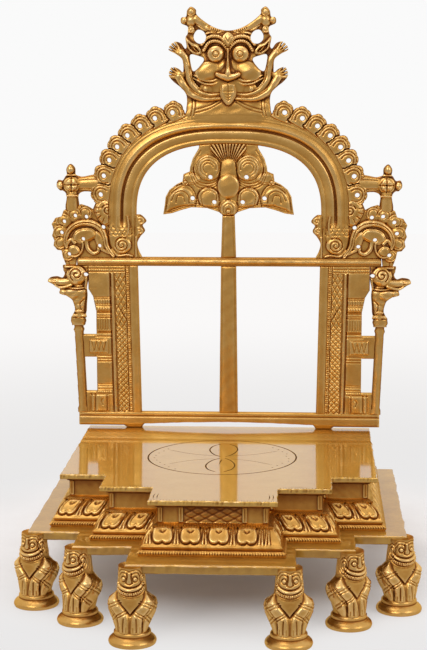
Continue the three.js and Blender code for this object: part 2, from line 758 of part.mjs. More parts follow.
// One side's flame leaves.
function crestSolid(side) {
  const root = ARCH_BAND + SEAM;
  const pieces = [sheet(leafStrip(side, LEAF_STRIP))];
  const tools = [through(underArch(root, TRANSOM_TOP))];
  for (let i = 0; i < LEAF_COUNT; i++) {
    const angle = LEAF_FIRST + ((LEAF_LAST - LEAF_FIRST) * i) / (LEAF_COUNT - 1);
    const foot = new THREE.Vector2(...archPoint(angle, root));
    const tip = new THREE.Vector2(...archPoint(angle, root + LEAF_LENGTH));
    const along = tip.clone().sub(foot);
    const across = new THREE.Vector2(along.y, -along.x).setLength(LEAF_HALF);
    const at = (share, width) => {
      const p = foot.clone().addScaledVector(along, share).addScaledVector(across, width);
      return [side * p.x, p.y];
    };
    const leaf = [at(0, -0.9), at(0.45, -1), at(0.85, -0.6), at(1, -0.1), at(0.6, 0.9), at(0, 0.9)];
    pieces.push(sheet(outline(leaf), SHEET_FRONT - LEAF_RELIEF));
    const [holeX, holeZ] = archPoint(angle, root + LEAF_HOLE_HEIGHT);
    tools.push(throughHole([side * holeX, holeZ], LEAF_HOLE_RADIUS));
  }
  return cut(join(pieces), tools);
}

// The volute on the arch's inner edge, between the transom and the springing.
function buildBracket(side, name) {
  const top = BRACKET_HEIGHT - SEAM;
  const bracket = placed(side, ARCH_HALF, TRANSOM_TOP, [
    [BRACKET_WIDTH * 0.15, 0],
    [BRACKET_WIDTH * 0.15, top],
    [BRACKET_WIDTH * -0.15, top],
    [BRACKET_WIDTH * -0.6, BRACKET_HEIGHT * 0.97],
    [BRACKET_WIDTH * -0.83, BRACKET_HEIGHT * 0.86],
    [BRACKET_WIDTH * -0.48, BRACKET_HEIGHT * 0.76],
    [BRACKET_WIDTH * -0.74, BRACKET_HEIGHT * 0.63],
    [BRACKET_WIDTH * -0.35, BRACKET_HEIGHT * 0.5],
    [BRACKET_WIDTH * -0.05, BRACKET_HEIGHT * 0.34],
    [BRACKET_WIDTH * -0.2, BRACKET_HEIGHT * 0.15],
    [BRACKET_WIDTH * -0.4, 0],
  ]);
  addNode(back, `bracket_${name}`, sheet(outline(bracket), SHEET_FRONT - BAR_RELIEF));
}

// The makara: a scaled breast under the arch's foot, a boss of leaves and a spreading tail. It is
// drawn from the corner below the arch's outer edge, at the level of the springing.
function makaraSolid(side) {
  const start = ARCH_HALF + BRACKET_WIDTH * 0.15 + SEAM;
  const beam = TRANSOM_BOTTOM + SEAM;
  const draw = (points) => placed(side, ARCH_EDGE_HALF, ARCH_SPRING, points);
  const tail = [
    ...mirrored(side, [
      [start, TRANSOM_TOP],
      [FRAME_HALF - SEAM, TRANSOM_TOP],
      [FRAME_HALF + SEAM, beam],
      [FRAME_HALF + 9, beam],
    ]),
    ...draw([
      [42, -29],
      [47.5, -21],
      [45, -14],
      [48.5, -7],
      [44, 1],
      [38, 7.5],
      [30, 10],
      [22, 8],
      [14, 6],
      [10, 11],
      [3, 13.5],
      [-3, 8],
      [-3, -SEAM],
    ]),
    ...mirrored(side, [[start, ARCH_SPRING - SEAM]]),
  ];
  const lobes = [
    ribbon(
      draw([
        [6, -22],
        [15, -8],
        [27, -6],
        [36, -15],
        [35, -26],
      ]),
      [2, 3.4, 3.6, 3, 2],
      7,
    ),
    ribbon(
      draw([
        [-9, -29],
        [3, -28],
        [13, -22],
        [21, -26],
      ]),
      [3, 4, 3.6, 2],
      5,
    ),
  ];
  const boss = (x, z, radii) => {
    const [[px, pz]] = draw([[x, z]]);
    return ellipsoid([px, SHEET_FRONT, pz], radii);
  };
  const holes = draw([
    [11, -2.5],
    [4.5, -15.5],
    [23, 1],
    [31.5, 0.5],
    [40, -8],
    [42, -19],
    [26, -17],
    [35, -25.5],
  ]).map((place) => throughHole(place, LEAF_HOLE_RADIUS));
  const relief = SHEET_FRONT - LEAF_RELIEF;
  const pieces = [
    sheet(outline(tail)),
    ...lobes.map((lobe) => sheet(lobe, relief - BAR_RELIEF)),
    boss(4, 5, [7.6, 4.6, 7.6]),
    boss(-9, -16, [8, 4.4, 13]),
    boss(44, -20, [3.4, 3, 5]),
    boss(43, -5, [4, 3, 5]),
  ];
  const neighbours = [
    through(underArch(ARCH_BAND + SEAM, ARCH_SPRING - SEAM)),
    through(rectangle(-start, start, 0, ARCH_SPRING)),
    through(rectangle(-FRAME_HALF - SEAM, FRAME_HALF + SEAM, 0, TRANSOM_TOP)),
    through(rectangle(-ARCH_TOP, ARCH_TOP, 0, beam)),
    behindSheet(),
  ];
  return cut(join(pieces), [...neighbours, ...holes]);
}

// The vase finial on the makara's tail, with an arm that reaches the lowest flame leaf.
function finialSolid(side) {
  const draw = (points) => placed(side, ARCH_EDGE_HALF, ARCH_SPRING, points);
  const vase = draw([
    [27, 5],
    [34, 5],
    [34, 18],
    [36.6, 22],
    [43, 21.6],
    [46, 24.4],
    [43, 27.2],
    [36, 28.4],
    [33.6, 32],
    [33.6, 37],
    [30.5, 40],
    [27.4, 37],
    [27, 32],
    [23.6, 28.6],
    [8, 27],
    [8, 18],
    [24, 21.4],
    [27, 18],
  ]);
  const knob = (x, z, radii) => {
    const [[px, pz]] = draw([[x, z]]);
    return ellipsoid([px, SHEET_FRONT, pz], radii);
  };
  return join([
    sheet(outline(vase)),
    knob(30.3, 25, [6.6, 5.6, 6]),
    knob(30.5, 36, [3, 3.6, 3.6]),
    knob(42.6, 24.4, [3.6, 3.6, 3]),
  ]).subtract(behindSheet());
}

// Makara, finial and crest of one side, each clear of the one that it rests against.
function buildWing(side, name) {
  const makara = makaraSolid(side);
  const crest = crestSolid(side);
  const clearCrest = [crest, crest.translate(side * SEAM, 0, 0), crest.translate(side * SEAM, 0, -SEAM)];
  const clearMakara = [makara, makara.translate(0, 0, SEAM)];
  const crestSpace = [makara, makara.translate(0, 0, SEAM), makara.translate(-side * SEAM, 0, SEAM)];
  addNode(back, `makara_${name}`, makara);
  addNode(back, `crest_${name}`, cut(crest, crestSpace));
  addNode(back, `finial_${name}`, cut(finialSolid(side), [...clearMakara, ...clearCrest]));
}

// The palm canopy that hangs from the arch's apex onto the mullion.
function buildCanopy() {
  const top = ARCH_RISE;
  const whole = bothSides([
    [MULLION_HEAD_HALF + SEAM, 0],
    [8, 4.5],
    [16, 7],
    [28, 7.6],
    [38, 6],
    [51, 1.5],
    [46, 14],
    [42, 23],
    [36, 28],
    [36.5, 35],
    [30, 38],
    [30, 46],
    [26, top - 4],
    [22, top + 4],
  ]).map(([x, z]) => [x, ARCH_SPRING + z]);
  const lobe = (x, z, radii) => ellipsoid([x, SHEET_FRONT, ARCH_SPRING + z], radii);
  const lobes = [lobe(0, 39, [15, 4.4, 17]), lobe(0, 7, [6, 3.8, 6])];
  const holes = [];
  for (const side of [-1, 1]) {
    lobes.push(
      lobe(side * 18, 42, [9.5, 4, 10]),
      lobe(side * 16, 15, [8.5, 3.2, 7.5]),
      lobe(side * 36, 15, [8, 3.2, 8]),
    );
    for (const [x, z] of [
      [17, 31.5],
      [13.5, 11],
      [32, 13.5],
    ])
      holes.push(throughHole([side * x, ARCH_SPRING + z], LEAF_HOLE_RADIUS));
  }
  const inside = sheet(underArch(-SEAM, ARCH_SPRING), SHEET_FRONT - REACH, SHEET_BACK);
  const canopy = join([sheet(outline(whole)), ...lobes]).intersect(inside);
  addNode(back, "canopy", cut(canopy, holes));
}

// The lion mask on the apex: bulging eyes, a hanging tongue, horns joined by a crescent, ears, and
// two raised hands on each side. It is drawn from the top of the arch band up.
function buildMask() {
  const half = [
    [33, -8],
    [33, 4],
    [32, 15],
    [36, 21],
    [42, 26],
    [46.5, 32.5],
    [41, 38],
    [36, 34.5],
    [35.5, 40],
    [39, 46],
    [47, 51],
    [40, 56.5],
    [31, 53.5],
    [30, 49.5],
    [32, 60],
    [30, 66],
    [36, 73.5],
    [30, 84.5],
    [25.5, 78],
    [17, 72],
    [9, 68],
    [0, 66],
  ];
  const whole = [...half, ...mirrored(-1, half.slice(0, -1)).reverse()];
  const level = (points) => points.map(([x, z]) => [x, ARCH_TOP + z]);
  const relief = (x, depth, z, radii, around = 7) =>
    ellipsoid([x, SHEET_FRONT - depth, ARCH_TOP + z], radii, around, 5);
  const pieces = [
    sheet(outline(level(whole))),
    relief(0, 0, 37, [21, 7.5, 20], 10),
    relief(0, 5, 17.5, [5.8, 4.6, 9]),
    relief(0, 3, 57, [4.6, 3.6, 6]),
    relief(0, 8, 35, [2.4, 4.2, 9]),
    relief(0, 9, 31, [7.6, 3, 2.8]),
  ];
  const tools = [through(underArch(ARCH_BAND + SEAM, TRANSOM_TOP)), behindSheet()];
  for (const side of [-1, 1]) {
    pieces.push(
      relief(side * 9.4, 6.5, 48, [6.6, 5, 6.6], 8),
      relief(side * 15.5, 3, 35, [8.6, 5.6, 7.5]),
      relief(side * 31, 0, 74, [4, 4, 8]),
      relief(side * 26.5, 0, 54, [3.6, 3, 6.5]),
    );
    const arm = level([
      [8, 17],
      [24, 20],
      [32, 30],
      [33, 44],
      [41, 52],
    ]);
    pieces.push(sheet(ribbon(mirrored(side, arm), [2.4, 3, 2.8, 2.4, 4], 7), SHEET_FRONT - 2.4));
    const upperVoid = throughHole([side * 22.6, ARCH_TOP + 60.6], 4.6);
    const lowerVoid = level([
      [18.5, 44.5],
      [27, 46],
      [28, 36],
      [22, 36],
      [17, 40],
    ]);
    const leaves = through(leafStrip(side, LEAF_LENGTH + SEAM));
    tools.push(upperVoid, through(outline(mirrored(side, lowerVoid))), leaves);
    tools.push(leaves.translate(-side * SEAM, 0, 0));
  }
  addNode(back, "lion_mask", cut(join(pieces), tools));
}

buildLowerPlate();
buildPlinth();
buildSlab();
buildLegs();
buildSill();
buildTransom();
buildMullion("mullion_lower", SILL_TOP, MULLION_FOOT_HALF, TRANSOM_BOTTOM, MULLION_MIDDLE_HALF);
buildMullion("mullion_upper", TRANSOM_TOP, MULLION_MIDDLE_HALF, ARCH_SPRING, MULLION_HEAD_HALF);
for (const [side, name] of [
  [-1, "left"],
  [1, "right"],
]) {
  buildJamb(side, name);
  buildPanel(side, name);
  buildColumn(side, name);
  buildYali(side, name);
  buildBracket(side, name);
  buildWing(side, name);
}
buildArch();
buildCanopy();
buildMask();

export default throne;
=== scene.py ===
import math

import bpy
import numpy as np
from mathutils import Matrix, Vector
from mathutils.geometry import delaunay_2d_cdt


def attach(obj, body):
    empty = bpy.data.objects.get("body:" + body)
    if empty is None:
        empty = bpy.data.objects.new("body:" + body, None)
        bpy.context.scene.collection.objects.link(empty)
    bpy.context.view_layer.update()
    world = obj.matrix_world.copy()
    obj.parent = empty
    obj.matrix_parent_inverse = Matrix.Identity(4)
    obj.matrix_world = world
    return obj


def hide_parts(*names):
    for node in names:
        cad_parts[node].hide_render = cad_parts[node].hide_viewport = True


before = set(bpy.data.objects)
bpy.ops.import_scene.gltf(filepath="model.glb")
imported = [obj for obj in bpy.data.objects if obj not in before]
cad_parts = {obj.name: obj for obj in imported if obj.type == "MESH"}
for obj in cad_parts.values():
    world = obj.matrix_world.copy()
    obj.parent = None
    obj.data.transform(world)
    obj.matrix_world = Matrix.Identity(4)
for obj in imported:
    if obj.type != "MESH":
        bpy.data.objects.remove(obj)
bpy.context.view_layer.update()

MM = 0.001
BOTH = (-1, 1)

# Sizes that the carving shares with the CAD model
NECK_HALF = np.array([37.5, 74.5, 107.0])
NECK_FRONT = np.array([101.5, 65.5, 31.5])
NECK_BACK = 129.5
NECK_WALL = 3.5
NECK_BOTTOM = 74.4
FOOT_TOP = 10.0
LION_TOP = 49.0
PLATE_TOP = 55.0
SLAB_BOTTOM = 87.0
SLAB_TOP = 90.5
SHEET_FRONT = 124.2
SHEET_BACK = 128.2
SILL_TOP = 103.0
TRANSOM_BOTTOM = 221.5
TRANSOM_TOP = 228.5
ARCH_SPRING = 262.0
ARCH_HALF = 73.0
ARCH_RISE = 56.0
ARCH_POWER = 2.6
ARCH_BAND = 22.0
ARCH_TOP = 340.0
JAMB_INNER = 70.0
JAMB_WIDTH = 9.5
PILASTER_INNER = 91.0
PILASTER_OUTER = 105.8
PILASTER_HEAD = PILASTER_OUTER + 6
COLUMN_INNER = 113.8
COLUMN_WIDTH = 6.8
CAPITAL_TOP = 180.0
FRAME_HALF = 120.6
# The uprights lean outward by these shares of their height
JAMB_LEAN = 0.02
COLUMN_LEAN = 0.042
# Pieces that meet run over each other by this much
LAP = 0.35
# The ledge and the slab stand out from the neck by these amounts at each step's side and front, and behind
LEDGE = (np.array([19, 22.5, 26]), np.array([36, 30.5, 29.5]), 9.0)
SLAB = (6.2, 5.0, 1.5)
# A leg's axis lies this far inside the ledge
LEG_INSET_SIDE = 4.5
LEG_INSET_SIDE_AT_BACK = 10.5
LEG_INSET_FRONT = 6.0
LEG_INSET_BACK = 6.7
TENON_X = 76.0
TENON_Y = 126.2
TENON_HALF = (4.5, 1.3)
SLOT_HALF = (4.75, 1.55)

# Pieces of the back that overlap end at different depths, so that no two rear faces coincide
SETBACKS = {
    **dict.fromkeys(("panel", "makara", "canopy"), 0.08),
    **dict.fromkeys(("sill", "bracket", "crest", "yali"), 0.16),
    **dict.fromkeys(("transom", "mask", "finial"), 0.24),
}

# The patina runs from 0 on a bright ridge to 1 in a dark groove
LEVEL_TONE = 0.3
REAR_TONE = 0.45
STROKE_TONE = 0.95
# An engraved stroke's tone fades over this width outside its rim
STROKE_RIM = 0.14
# The carved sheet stays at least this thick
THINNEST = 1.2


# Curves


def smooth(points, closed=True, steps=6):
    """A Catmull-Rom curve through the points."""
    p = np.asarray(points, float)
    if closed:
        q = np.vstack([p[-1], p, p[:2]])
    else:
        q = np.vstack([2 * p[0] - p[1], p, 2 * p[-1] - p[-2]])
    t = np.linspace(0, 1, steps, endpoint=False)[:, None]
    spans = [
        0.5 * (2 * b + (c - a) * t + (2 * a - 5 * b + 4 * c - d) * t**2 + (3 * b - a - 3 * c + d) * t**3)
        for a, b, c, d in zip(q[:-3], q[1:-2], q[2:-1], q[3:])
    ]
    return np.vstack(spans if closed else [*spans, p[-1:]])


def along(X, Z, path):
    """Distance to a path, and the share of its length at which the nearest point lies."""
    nearest = np.full(X.shape, np.inf)
    place = np.zeros(X.shape)
    run = 0.0
    for (ax, az), (bx, bz) in zip(path[:-1], path[1:]):
        dx, dz = bx - ax, bz - az
        length = math.hypot(dx, dz)
        if length < 1e-9:
            continue
        t = np.clip(((X - ax) * dx + (Z - az) * dz) / length**2, 0, 1)
        d = (X - ax - t * dx) ** 2 + (Z - az - t * dz) ** 2
        closer = d < nearest
        nearest = np.where(closer, d, nearest)
        place = np.where(closer, run + t * length, place)
        run += length
    return np.sqrt(nearest), place / run


def signed(X, Z, path):
    """Distance to a closed outline, positive inside it."""
    d, _ = along(X, Z, np.vstack([path, path[:1]]))
    odd = np.zeros(X.shape, bool)
    for (ax, az), (bx, bz) in zip(path, np.roll(path, -1, 0)):
        if az != bz:
            odd ^= ((Z < az) != (Z < bz)) & (X < ax + (Z - az) * (bx - ax) / (bz - az))
    return np.where(odd, d, -d)


def on_side(side):
    """A function that mirrors points where the side is -1."""
    return lambda points: [(side * x, z) for x, z in points]


def moved(x, z):
    """A function that moves points to a place."""
    return lambda points: [(x + px, z + pz) for px, pz in points]


def unit(angle):
    """The direction of an angle in degrees."""
    return math.cos(math.radians(angle)), math.sin(math.radians(angle))


def turned(points, x, z, angle):
    """Moves a drawing to a place, turned by an angle in degrees."""
    c, s = unit(angle)
    return [(x + c * px - s * pz, z + s * px + c * pz) for px, pz in points]


def ray(x, z, angle, *reaches):
    """Points at given distances from a place, all in one direction."""
    c, s = unit(angle)
    return [(x + reach * c, z + reach * s) for reach in reaches]


def arc(x, z, radius, a0, a1, n):
    a = np.radians(np.linspace(a0, a1, n))
    return np.column_stack([x + radius * np.cos(a), z + radius * np.sin(a)])


def coil(x, z, radius, turns, start, inner=0.15):
    """A spiral path from its outer end inward; a negative number of turns runs clockwise."""
    t = np.linspace(0, 1, max(8, int(abs(turns) * 14)))
    angle = math.radians(start) + t * turns * 2 * math.pi
    r = radius * (1 - t * (1 - inner))
    return np.column_stack([x + r * np.cos(angle), z + r * np.sin(angle)])


# Carving


class Field:
    """Heights over a drawing, in millimetres: X runs across it and Z up it."""

    def __init__(self, X, Z):
        self.X, self.Z = X, Z
        self.h = np.zeros(X.shape)

    def near(self, path, reach):
        """The part of the grid that a stroke can change, here all of it."""
        return slice(None), slice(None)

    def _line(self, path, curved):
        return smooth(path, False) if curved and len(path) > 2 else np.asarray(path, float)

    def _outline(self, points, curved):
        return smooth(points) if curved else np.asarray(points, float)

    def _raise(self, w, where, top, floor, add):
        raised = self.h[w] + top if add else np.maximum(self.h[w], floor + top)
        self.h[w] = np.where(where, raised, self.h[w])

    def ridge(self, path, half, height, floor=0.0, curved=True, add=False):
        """A rounded cord along a path; half may list its half widths from end to end."""
        line = self._line(path, curved)
        halves = np.atleast_1d(half)
        w = self.near(line, halves.max() + 0.5)
        d, place = along(self.X[w], self.Z[w], line)
        width = np.interp(place, np.linspace(0, 1, len(halves)), halves) if len(halves) > 1 else halves[0]
        self._raise(w, d < width, height * np.sqrt(np.clip(1 - (d / width) ** 2, 0, 1)), floor, add)

    def groove(self, path, half=0.45, depth=0.6, curved=True):
        line = self._line(path, curved)
        w = self.near(line, 3 * half)
        d, _ = along(self.X[w], self.Z[w], line)
        self.h[w] -= depth * np.exp(-((d / half) ** 2))

    def dome(self, x, z, rx, rz, height, floor=0.0, turn=0.0, add=False):
        w = self.near(np.array([[x, z]]), max(rx, rz) + 0.5)
        c, s = unit(turn)
        dx, dz = self.X[w] - x, self.Z[w] - z
        r2 = ((dx * c + dz * s) / rx) ** 2 + ((dz * c - dx * s) / rz) ** 2
        self._raise(w, r2 < 1, height * np.sqrt(np.clip(1 - r2, 0, 1)), floor, add)

    def ring(self, x, z, radius, half=0.45, depth=0.6, span=(0, 360)):
        """A circular groove, or an arc of one between two angles in degrees."""
        steps = 5 + int(abs(span[1] - span[0]) / 15)
        self.groove(arc(x, z, radius, *span, steps), half, depth, False)

    def leaf(self, points, height, lines=(), floor=0.0, rounding=1.4, curved=True):
        """A raised pad with grooves that follow its outline at given distances inside it."""
        path = self._outline(points, curved)
        w = self.near(path, 1)
        d = signed(self.X[w], self.Z[w], path)
        share = np.clip(d / rounding, 0, 1)
        top = floor + height * np.sqrt(1 - (1 - share) ** 2)
        for line in lines:
            top = top - 0.55 * np.exp(-(((d - line) / 0.42) ** 2))
        self.h[w] = np.where(d > 0, np.maximum(self.h[w], top), self.h[w])

    def set_flat(self, x0, x1, z0, z1, height, soft=0.4):
        """Brings a rectangle to a height, with soft edges."""
        w = self.near(np.array([[x0, z0], [x1, z1]]), soft)
        d = np.minimum.reduce([self.X[w] - x0, x1 - self.X[w], self.Z[w] - z0, z1 - self.Z[w]])
        share = np.clip(d / soft + 0.5, 0, 1)
        self.h[w] += (height - self.h[w]) * share * share * (3 - 2 * share)

    def beads(self, path, pitch, radius, height, floor=0.0):
        line = np.asarray(path, float)
        run = np.concatenate([[0], np.cumsum(np.hypot(*np.diff(line, axis=0).T))])
        for at in np.arange(pitch / 2, run[-1], pitch):
            x, z = np.interp(at, run, line[:, 0]), np.interp(at, run, line[:, 1])
            self.dome(x, z, radius, radius, height, floor)

    def ticks(self, path, pitch, half, depth, curved=True):
        """Cross cuts along a path, as on a beaded moulding."""
        line = self._line(path, curved)
        w = self.near(line, half + 0.6)
        d, place = along(self.X[w], self.Z[w], line)
        length = np.hypot(*np.diff(line, axis=0).T).sum()
        wave = 0.5 + 0.5 * np.cos(2 * math.pi * place * length / pitch)
        fade = np.clip((half + 0.3 - d) / 0.6, 0, 1)
        self.h[w] -= depth * fade * wave**3

    def uneven(self, amount, scale, seed):
        """The slight unevenness of a casting that was filed by hand."""
        r = np.random.default_rng(seed)
        for _ in range(5):
            kx, kz = r.normal(0, 2 * math.pi / scale, 2)
            self.h += amount * 0.45 * np.sin(kx * self.X + kz * self.Z + r.uniform(0, 2 * math.pi))


def box_blur(a, reach, axis):
    """Sums over a window along one axis."""
    margins = [(reach + 1, reach) if i == axis else (0, 0) for i in (0, 1)]
    padded = np.insert(np.cumsum(np.pad(a, margins), axis), 0, 0, axis)
    high = np.take(padded, range(2 * reach + 2, padded.shape[axis]), axis)
    low = np.take(padded, range(1, padded.shape[axis] - 2 * reach - 1), axis)
    return high - low


def recess(h, mask, cell, reach=1.3):
    """The patina that heights give: how far each point lies in a recess."""
    share = mask.astype(float)
    total = h * share
    for axis in (0, 1):
        for _ in range(2):
            n = max(1, round(reach / cell[axis]))
            share = box_blur(share, n, axis)
            total = box_blur(total, n, axis)
    mean = total / np.maximum(share, 1e-6)
    return np.clip(LEVEL_TONE + (mean - h) / 1.25, 0, 1)


# Meshes


def add_object(name, data):
    made = bpy.data.objects.new(name, data)
    bpy.context.scene.collection.objects.link(made)
    return made


def build_mesh(name, points, quads, tris, patina, material, angle=50, flat_tris=False):
    mesh = bpy.data.meshes.new(name)
    points = np.asarray(points, float) * MM
    quads = np.asarray(quads, int).reshape(-1, 4)
    tris = np.asarray(tris, int).reshape(-1, 3)
    mesh.vertices.add(len(points))
    mesh.vertices.foreach_set("co", points.ravel())
    corners = np.concatenate([quads.ravel(), tris.ravel()])
    sizes = np.concatenate([np.full(len(quads), 4), np.full(len(tris), 3)])
    mesh.loops.add(len(corners))
    mesh.loops.foreach_set("vertex_index", corners)
    mesh.polygons.add(len(sizes))
    mesh.polygons.foreach_set("loop_start", np.concatenate([[0], np.cumsum(sizes)[:-1]]))
    mesh.update(calc_edges=True)
    mesh.polygons.foreach_set("use_smooth", np.ones(len(sizes), bool))
    mesh.set_sharp_from_angle(angle=math.radians(angle))
    if flat_tris:
        mesh.polygons.foreach_set("use_smooth", sizes == 4)
    mesh.attributes.new("patina", "FLOAT", "POINT").data.foreach_set("value", np.asarray(patina, float))
    mesh.validate()
    mesh.materials.append(material)
    return add_object(name, mesh)


def put(piece, body, slot, *nodes):
    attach(piece, body)
    if nodes:
        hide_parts(*nodes)


def stacked(count, around, first=0):
    """Quads between rings of points that lie one over the other."""
    level, column = np.meshgrid(np.arange(count - 1), np.arange(around), indexing="ij")
    a = first + (level * around + column).ravel()
    b = first + (level * around + (column + 1) % around).ravel()
    return np.column_stack([a, b, b + around, a + around])


def capped(first, around, centre, step):
    """Triangles from a ring of points to one point; the step is 1 above the ring and -1 below it."""
    return [(*(first + i, first + (i + 1) % around)[::step], centre) for i in range(around)]


def fill(points, edges):
    """Triangles inside the edges, which all have the inside on their left."""
    edges = [(int(a), int(b)) for a, b in edges]
    coords = [Vector((float(x), float(y))) for x, y in points]
    _, _, faces, origin, _, _ = delaunay_2d_cdt(coords, edges, [], 1, 1e-7)
    faces = [[origin[v][0] for v in face] for face in faces]
    rim = set(edges)
    owner = {(a, b): n for n, face in enumerate(faces) for a, b in zip(face, [*face[1:], face[0]])}
    kept, waiting = set(), [owner[edge] for edge in edges if edge in owner]
    while waiting:
        n = waiting.pop()
        if n in kept:
            continue
        kept.add(n)
        face = faces[n]
        for a, b in zip(face, [*face[1:], face[0]]):
            if (a, b) not in rim and (b, a) not in rim and (b, a) in owner:
                waiting.append(owner[b, a])
    return [faces[n] for n in sorted(kept)]


class Relief(Field):
    """A carved piece of the back: a grid of heights with a pierced outline."""

    def __init__(self, x0, x1, z0, z1, cell=0.4, tall=None):
        self.x = np.linspace(x0, x1, max(2, round((x1 - x0) / cell)) + 1)
        self.z = np.linspace(z0, z1, max(2, round((z1 - z0) / (tall or cell))) + 1)
        super().__init__(*np.meshgrid(self.x, self.z))
        # Depth inside the outline, and how much of the edge's rounding is left out
        self.edge = np.full(self.X.shape, -99.0)
        self.ease = 0.0

    def near(self, path, reach):
        low, high = path.min(0) - reach, path.max(0) + reach
        i = slice(*np.searchsorted(self.x, (low[0], high[0])))
        k = slice(*np.searchsorted(self.z, (low[1], high[1])))
        return k, i

    def body(self, points, curved=True):
        path = self._outline(points, curved)
        w = self.near(path, 2)
        self.edge[w] = np.maximum(self.edge[w], signed(self.X[w], self.Z[w], path))

    def cut(self, points, curved=True):
        path = self._outline(points, curved)
        w = self.near(path, 2)
        self.edge[w] = np.minimum(self.edge[w], -signed(self.X[w], self.Z[w], path))

    def hole(self, x, z, radius):
        w = self.near(np.array([[x, z]]), radius + 3)
        rho = np.hypot(self.X[w] - x, self.Z[w] - z)
        self.edge[w] = np.minimum(self.edge[w], rho - radius)

    def keep(self, x0=None, x1=None, z0=None, z1=None):
        """Cuts away what lies outside the given limits."""
        for limit, axis, sign in ((x0, self.X, 1), (x1, self.X, -1), (z0, self.Z, 1), (z1, self.Z, -1)):
            if limit is not None:
                self.edge = np.minimum(self.edge, sign * (axis - limit))

    def build(self, name, sides=(1,), rounding=0.9, wear=1.0, replaced=None):
        """Makes the mesh, and its mirror image for two sides; wear says how dark the recesses are."""
        rear = SHEET_BACK - SETBACKS.get(name, 0.0)
        e = self.edge
        kept = (e[:-1, :-1] + e[1:, :-1] + e[:-1, 1:] + e[1:, 1:]) > 0
        # Where two cells touch only at a corner, a third one joins them
        for _ in range(4):
            a, b, c, d = kept[:-1, :-1], kept[:-1, 1:], kept[1:, :-1], kept[1:, 1:]
            falling, rising = a & d & ~b & ~c, b & c & ~a & ~d
            b |= falling
            a |= rising
        padded = np.pad(kept, 1)
        around = [padded[:-1, :-1], padded[:-1, 1:], padded[1:, :-1], padded[1:, 1:]]
        used = np.logical_or.reduce(around)
        border = used & ~np.logical_and.reduce(around)
        # Points on the border move onto the outline, by less than a cell
        cell = (self.z[1] - self.z[0], self.x[1] - self.x[0])
        slopes = np.gradient(e, *cell)
        steep = np.maximum(slopes[1] ** 2 + slopes[0] ** 2, 0.25)
        dz, dx = (
            np.where(border, np.clip(-e * slope / steep, -0.7 * size, 0.7 * size), 0)
            for slope, size in zip(slopes, cell)
        )
        inside = np.clip(e + self.ease, 0, rounding)
        drop = rounding - np.sqrt(np.maximum(rounding**2 - (rounding - inside) ** 2, 0))
        patina = LEVEL_TONE + wear * (recess(self.h, e > 0, cell) - LEVEL_TONE)
        y = SHEET_FRONT - np.maximum(self.h - drop, SHEET_FRONT - rear + THINNEST)
        number = np.full(e.shape, -1)
        number[used] = np.arange(used.sum())
        front = np.column_stack([(self.X + dx)[used], y[used], (self.Z + dz)[used]])
        k, i = np.nonzero(kept)
        quads = np.column_stack([number[k, i], number[k, i + 1], number[k + 1, i + 1], number[k + 1, i]])
        walls = []
        for beyond, p, q in (
            (padded[:-2, 1:-1], (0, 0), (0, 1)),
            (padded[1:-1, 2:], (0, 1), (1, 1)),
            (padded[2:, 1:-1], (1, 1), (1, 0)),
            (padded[1:-1, :-2], (1, 0), (0, 0)),
        ):
            k, i = np.nonzero(kept & ~beyond)
            walls.append(np.column_stack([number[k + p[0], i + p[1]], number[k + q[0], i + q[1]]]))
        rim = np.vstack(walls)
        ids, local = np.unique(rim, return_inverse=True)
        local = local.reshape(rim.shape)
        behind = front[ids].copy()
        behind[:, 1] = rear
        start = len(front)
        wall_quads = np.column_stack([rim[:, 1], rim[:, 0], start + local[:, 0], start + local[:, 1]])
        quads = np.vstack([quads, wall_quads])
        tris = [[start + v for v in reversed(face)] for face in fill(behind[:, ::2], local)]
        points = np.vstack([front, behind])
        point_tones = np.concatenate([patina[used], np.full(len(behind), REAR_TONE)])
        for side in sides:
            hand = "" if len(sides) == 1 else "_left" if side < 0 else "_right"
            flipped = [face[::side] for face in tris]
            placed = points * (side, 1, 1)
            piece = build_mesh(name + hand, placed, quads[:, ::side], flipped, point_tones, cast_brass)
            put(piece, "back", "cast_brass", (replaced or name) + hand)


# Materials


def feed(tree, socket, value):
    """Sets an input, or links it to another node's output."""
    if isinstance(value, bpy.types.NodeSocket):
        tree.links.new(value, socket)
    else:
        socket.default_value = value


def node(tree, kind, *inputs, **named):
    """A node, with its first inputs in their order, and other inputs and settings by name."""
    made = tree.nodes.new(kind)
    for key, value in named.items():
        if key in made.inputs:
            feed(tree, made.inputs[key], value)
        else:
            setattr(made, key, value)
    for socket, value in zip(made.inputs, inputs):
        feed(tree, socket, value)
    return made


def noise(tree, vector, scale, detail, roughness=0.5):
    made = node(tree, "ShaderNodeTexNoise", vector, Scale=scale, Detail=detail, Roughness=roughness)
    return made.outputs["Fac"]


def calculated(tree, operation, *values):
    return node(tree, "ShaderNodeMath", *values, operation=operation).outputs[0]


def ranged(tree, value, from_min, from_max, to_min, to_max, interpolation="LINEAR"):
    limits = (from_min, from_max, to_min, to_max)
    return node(
        tree, "ShaderNodeMapRange", value, *limits, interpolation_type=interpolation
    ).outputs["Result"]


def mixed(tree, share, first, second):
    return node(tree, "ShaderNodeMixShader", share, first.outputs[0], second.outputs[0])


def ramp(tree, source, stops):
    made = node(tree, "ShaderNodeValToRGB", source)
    elements = made.color_ramp.elements
    for place, _ in stops[1:-1]:
        elements.new(place)
    for element, (place, colour) in zip(elements, stops):
        element.position = place
        element.color = (*colour, 1)
    return made.outputs["Color"]


def new_material(name, shade):
    """A material; shade gives the inputs of its shader from its node tree."""
    material = bpy.data.materials.new(name)
    material.use_nodes = True
    tree = material.node_tree
    for key, value in shade(tree).items():
        feed(tree, tree.nodes["Principled BSDF"].inputs[key], value)
    return material


